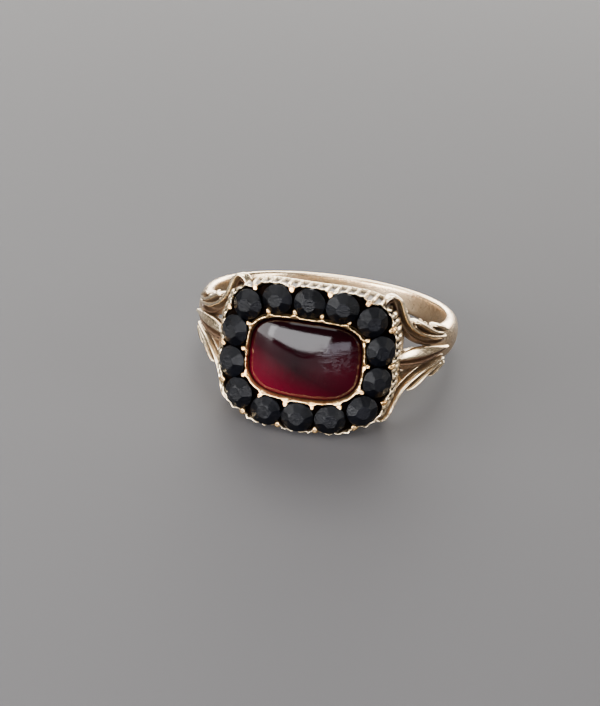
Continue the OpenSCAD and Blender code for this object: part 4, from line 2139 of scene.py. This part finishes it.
@dataclass
class GrainClaws:
    """Small pitted grains raised from the metal between the stones."""

    sizes: RingSizes
    outer: Shares = (0.25, 0.2, 0.27)
    inner: Shares = (0.21, 0.15, 0.24)
    rooted: float = 0.05
    sunk: float = 0.1
    uneven_size: float = 0.12
    uneven_turn: float = 0.15
    seed: int = 11

    def build(self) -> Piece:
        """Models one grain and sets copies of it on both sides of the row.

        Returns:
            The piece.
        """
        s = self.sizes
        chance = random.Random(self.seed)
        grain = self.grain()
        copies = []
        for offset, shape in ((s.claw_offset, self.outer), (-s.claw_offset, self.inner)):
            for place, outwards in s.claw_places(offset):
                away = Vector(outwards) * math.copysign(1, offset)
                share = chance.uniform(1 - self.uneven_size, 1 + self.uneven_size)
                turn = chance.uniform(-self.uneven_turn, self.uneven_turn)
                turn += math.atan2(away.y, away.x)
                middle = Vector(place) + self.rooted * away
                level = s.face_radius - self.sunk
                copies.append(Bench.copy(grain))
                Bench.set_down(copies[-1], [share * v for v in shape], turn, (*middle, level))
        bpy.data.objects.remove(grain)
        piece = Bench.join(copies, "grain_claws")
        FaceCurve(s).bend(piece)
        Bench.shade(piece)
        return piece

    def grain(self) -> Piece:
        """Models one grain, pitted at its top and wider at its outer side.

        Returns:
            The grain.
        """
        Bench.clear()
        bpy.ops.mesh.primitive_uv_sphere_add(segments=16, ring_count=10, radius=1)
        grain = Bench.opened("grain")
        Bench.pick(grain, lambda p: p.z > 0.9)
        Bench.push(-0.1, 0, -0.35)
        Bench.pick(grain, lambda p: p.x > 0.2)
        Bench.scale(1, 1.25, 0.8)
        Bench.clear()
        return grain


@dataclass
class Garnet:
    """The domed cushion cabochon."""

    sizes: RingSizes
    quarter: int = 20
    side_share: float = 0.6
    swell: float = 0.42
    rings: int = 12
    last_ring: float = 86.0
    ring_power: float = 0.8
    crown_inset: float = 0.12
    spare: float = 0.1
    settled: float = 0.05

    def build(self) -> Piece:
        """Models the garnet.

        Returns:
            The piece.
        """
        s = self.sizes
        width = s.garnet_half_width + self.spare - self.settled / 2
        half = (s.garnet_half_length + self.spare, width)
        height = s.garnet_top - s.garnet_back
        shoulder = s.garnet_back + self.side_share * height
        dome = s.garnet_top - shoulder
        piece = Bench.cushion_block("garnet_cabochon", half, s.garnet_back, shoulder, self.quarter)
        Bench.strips(piece, 0, s.garnet_back + 0.01, half[0], 0.2)
        Bench.pick_faces(piece, lambda middle, normal: normal.z > 0.9)
        share, level = 1.0, shoulder
        for i in range(1, self.rings + 1):
            new_share = math.cos(math.radians(self.last_ring * i / self.rings)) ** self.ring_power
            round_edge = (1 - new_share**4) ** 0.25
            bulge = (1 - self.swell) * round_edge + self.swell * (1 - new_share**2)
            new_level = shoulder + dome * bulge
            Bench.extrude(0, 0, new_level - level)
            Bench.scale(new_share / share, new_share / share, 1)
            share, level = new_share, new_level
        bpy.ops.mesh.inset(thickness=self.crown_inset)
        bpy.ops.mesh.poke()
        bpy.ops.mesh.select_all(action="SELECT")
        Bench.push(0, -self.settled, 0)
        Bench.tidy(piece)
        Bench.smooth(piece, 2)
        FaceCurve(s).bend(piece)
        Bench.shade(piece)
        return piece


@dataclass
class BlackStone:
    """One small stone, cut facet by facet by hand."""

    sizes: RingSizes
    number: int
    crown: float = 0.52
    girdle: float = 0.1
    pavilion: float = 0.5
    table_share: float = 0.4
    sides: int = 8
    worn_edge: float = 0.014

    # Reach of a facet in radii and steepness in crown slopes, between which chance picks
    MAIN_REACH = (0.985, 1.0)
    MAIN_SLOPE = (0.95, 1.05)
    STAR_SLOPE = (0.55, 0.7)
    LOWER_REACH = (0.975, 0.99)
    LOWER_SLOPE = (1.35, 1.55)
    # Shares of a side by which a facet may stand aside
    ASIDE = (-0.08, 0.08)

    def cut(self, turn: float, reach: float, level: float, steepness: float) -> None:
        """Grinds one facet.

        Args:
            turn: Direction of the facet round the stone, in radians.
            reach: Distance from the axis at which the facet passes its level.
            level: The level, from the girdle's top.
            steepness: Angle of the facet from lying flat, in radians.
        """
        bpy.ops.mesh.select_all(action="SELECT")
        c, s = math.cos(turn), math.sin(turn)
        bpy.ops.mesh.bisect(
            plane_co=(reach * c, reach * s, level),
            plane_no=(math.sin(steepness) * c, math.sin(steepness) * s, math.cos(steepness)),
            use_fill=True,
            clear_outer=True,
        )

    def build(self, place: Pair) -> Piece:
        """Cuts the stone and sets it on the face.

        Args:
            place: Its place on the face's flat plan.

        Returns:
            The piece.
        """
        s = self.sizes
        Bench.clear()
        height = self.crown + self.girdle + self.pavilion
        bpy.ops.mesh.primitive_cylinder_add(vertices=32, radius=s.stone_radius, depth=height)
        piece = Bench.opened(f"black_stone_{self.number:02d}")
        Bench.push(0, 0, (self.crown - self.girdle - self.pavilion) / 2)
        self.cut_facets()
        Bench.clear()
        Bench.soften(piece, self.worn_edge, 1, 9)
        Bench.edit(piece)
        Bench.scale(*s.stone_spans[self.number - 1], 1)
        Bench.turn(s.row_direction(self.number - 1), "Z")
        Bench.push(0, 0, s.face_radius)
        Bench.turn(math.pi / 2, "X")
        Bench.turn(math.asin(place[0] / s.face_radius), "Z")
        Bench.push(0, 0, place[1])
        Bench.clear()
        return piece

    def cut_facets(self) -> None:
        """Grinds the crown's three rows of facets and the pavilion on the open stone."""
        chance = random.Random(40 + self.number)
        radius = self.sizes.stone_radius
        slope = math.atan2(self.crown, radius * (1 - self.table_share))
        first = chance.uniform(0, math.tau)
        for i in range(self.sides):
            turn = first + math.tau * (i + chance.uniform(*self.ASIDE)) / self.sides
            reach = radius * chance.uniform(*self.MAIN_REACH)
            self.cut(turn, reach, 0.03, slope * chance.uniform(*self.MAIN_SLOPE))
        for i in range(self.sides):
            turn = first + math.tau * (i + 0.5 + chance.uniform(*self.ASIDE)) / self.sides
            steepness = slope * chance.uniform(*self.STAR_SLOPE)
            self.cut(turn, radius * 0.6, self.crown * 0.84, steepness)
        for i in range(2 * self.sides):
            turn = first + math.tau * (i + 0.5) / (2 * self.sides)
            reach = radius * chance.uniform(*self.LOWER_REACH)
            self.cut(turn, reach, 0.05, slope * chance.uniform(*self.LOWER_SLOPE))
        for i in range(self.sides):
            turn = first + math.tau * i / self.sides
            self.cut(turn, radius, -self.girdle, math.pi - math.atan2(self.pavilion, 0.7 * radius))


@dataclass(frozen=True)
class PhotoCamera:
    """The camera of the photograph, round the upright ring and then laid down with it."""

    sizes: RingSizes
    azimuth: float = 7.22
    elevation: float = 16.87
    roll: float = 6.31
    distance: float = 150.0
    right: float = -2.113
    up: float = -2.745
    focal_share: float = 2039 / 600
    sensor: float = 36.0

    def place(self) -> None:
        """Adds the camera and makes it the scene's."""
        a, e, r = (math.radians(v) for v in (self.azimuth, self.elevation, self.roll))
        back = Vector((math.sin(a) * math.cos(e), -math.cos(a) * math.cos(e), math.sin(e)))
        level = (-back).cross(Vector((0, 0, 1))).normalized()
        above = level.cross(-back)
        right = level * math.cos(r) + above * math.sin(r)
        up = above * math.cos(r) - level * math.sin(r)
        eye = back * self.distance + right * self.right + up * self.up
        turned = Matrix((right, up, back)).transposed().to_4x4()
        laid = Matrix.Rotation(-self.sizes.tilt, 4, "X")
        data = bpy.data.cameras.new("photo_camera")
        data.sensor_fit = "HORIZONTAL"
        data.sensor_width = self.sensor
        data.lens = self.focal_share * self.sensor
        data.clip_start = 0.005
        camera = bpy.data.objects.new("photo_camera", data)
        camera.matrix_world = laid @ Matrix.Translation(eye * MILLIMETRE) @ turned
        bpy.context.collection.objects.link(camera)
        bpy.context.scene.camera = camera


@dataclass(frozen=True)
class Softbox:
    """One square soft light that looks at the ring."""

    name: str
    place: Sequence[float]
    size: Pair
    brightness: float
    colour: Colour = (1.0, 1.0, 1.0)

    def add(self) -> None:
        """Adds the light."""
        data = bpy.data.lights.new(self.name, "AREA")
        data.shape = "RECTANGLE"
        data.size, data.size_y = self.size
        data.energy = self.brightness * math.pi * self.size[0] * self.size[1]
        data.color = self.colour
        light = bpy.data.objects.new(self.name, data)
        light.location = self.place
        light.rotation_euler = Vector(self.place).to_track_quat("Z", "Y").to_euler()
        bpy.context.collection.objects.link(light)


@dataclass(frozen=True)
class Studio:
    """The pale table, the soft lights and the camera."""

    sizes: RingSizes
    horizon: Colour = (0.035, 0.033, 0.033)
    zenith: Colour = (0.22, 0.22, 0.23)
    lights: tuple[Softbox, ...] = (
        Softbox("front_window", (-0.069, -0.229, 0.074), (0.30, 0.105), 28.0, (0.97, 0.97, 1.0)),
        Softbox("front_left", (-0.203, -0.122, 0.068), (0.17, 0.14), 17.0, (1.0, 1.0, 1.0)),
        Softbox("front_right", (0.116, -0.209, 0.026), (0.15, 0.06), 13.0, (0.87, 0.87, 1.0)),
        Softbox("front_top", (0.0, -0.10, 0.23), (0.18, 0.14), 8.0, (0.98, 0.99, 1.0)),
        Softbox("overhead_back", (-0.02, 0.13, 0.17), (0.10, 0.10), 13.0, (1.0, 0.985, 0.96)),
        Softbox("back_panel", (0.03, 0.30, 0.04), (0.40, 0.09), 14.0, (1.0, 0.97, 0.93)),
        Softbox("back_left", (-0.14, 0.17, 0.12), (0.12, 0.14), 9.0, (1.0, 0.98, 0.95)),
        Softbox("left_side", (-0.22, -0.02, 0.16), (0.09, 0.18), 9.0, (1.0, 1.0, 1.0)),
        Softbox("right_side", (0.25, -0.03, 0.09), (0.12, 0.14), 14.0, (1.0, 0.99, 0.97)),
    )

    def sky(self) -> bpy.types.World:
        """Soft light from above that fades towards the horizon.

        Returns:
            The world.
        """
        world = bpy.data.worlds.new("studio")
        world.use_nodes = True
        nodes = Nodes(world.node_tree)
        split = nodes.add("ShaderNodeSeparateXYZ")
        nodes.link(nodes.add("ShaderNodeTexCoord").outputs["Generated"], split.inputs[0])
        height = nodes.ramp(split.outputs["Z"], 0.05, 0.85)
        colour = nodes.mix(height, self.horizon, self.zenith)
        nodes.link(colour, world.node_tree.nodes["Background"].inputs["Color"])
        return world

    def build(self, level: float) -> None:
        """Builds the table, the lights and the camera.

        Args:
            level: The lowest level of the ring.
        """
        PhotoCamera(self.sizes).place()
        Bench.clear()
        bpy.ops.mesh.primitive_plane_add(size=3.0, location=(0, 0, level))
        table = bpy.context.object
        table.name = "table"
        table.data.materials.append(TableFinish().build())
        table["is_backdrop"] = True
        bpy.context.scene.world = self.sky()
        for light in self.lights:
            light.add()


def main() -> None:
    """Builds the ring and its studio."""
    logging.basicConfig(level=logging.INFO, format="%(message)s")
    sizes = RingSizes()
    finishes = Finishes.build(sizes)
    layout = Layout(sizes)
    gold = ("ring_mount",)
    layout.finish(Shank(sizes).build(), finishes.shank, gold)
    for side in Side:
        layout.finish(MiddleLeaf(sizes).build(side), finishes.leaf, gold)
        for edge in Edge:
            layout.finish(ScrollLeaf(sizes).build(side, edge), finishes.leaf, gold)
    layout.finish(Bezel(sizes).build(), finishes.wall, gold)
    # The plate between the stones wears the nearly black finish, as painted shadow
    layout.finish(SettingPlate(sizes).build(), finishes.between, gold)
    layout.finish(Collet(sizes).build(), finishes.setting, gold)
    layout.finish(GrainClaws(sizes).build(), finishes.setting, gold)
    layout.finish(Garnet(sizes).build(), finishes.garnet, ("garnet",))
    for number, place in enumerate(sizes.stone_middles(), start=1):
        stone = BlackStone(sizes, number).build(place)
        layout.finish(stone, finishes.stone, (f"stone_{number:02d}",))
    seen_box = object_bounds()
    Studio(sizes).build(seen_box[0].z)


if __name__ == "__main__":
    main()
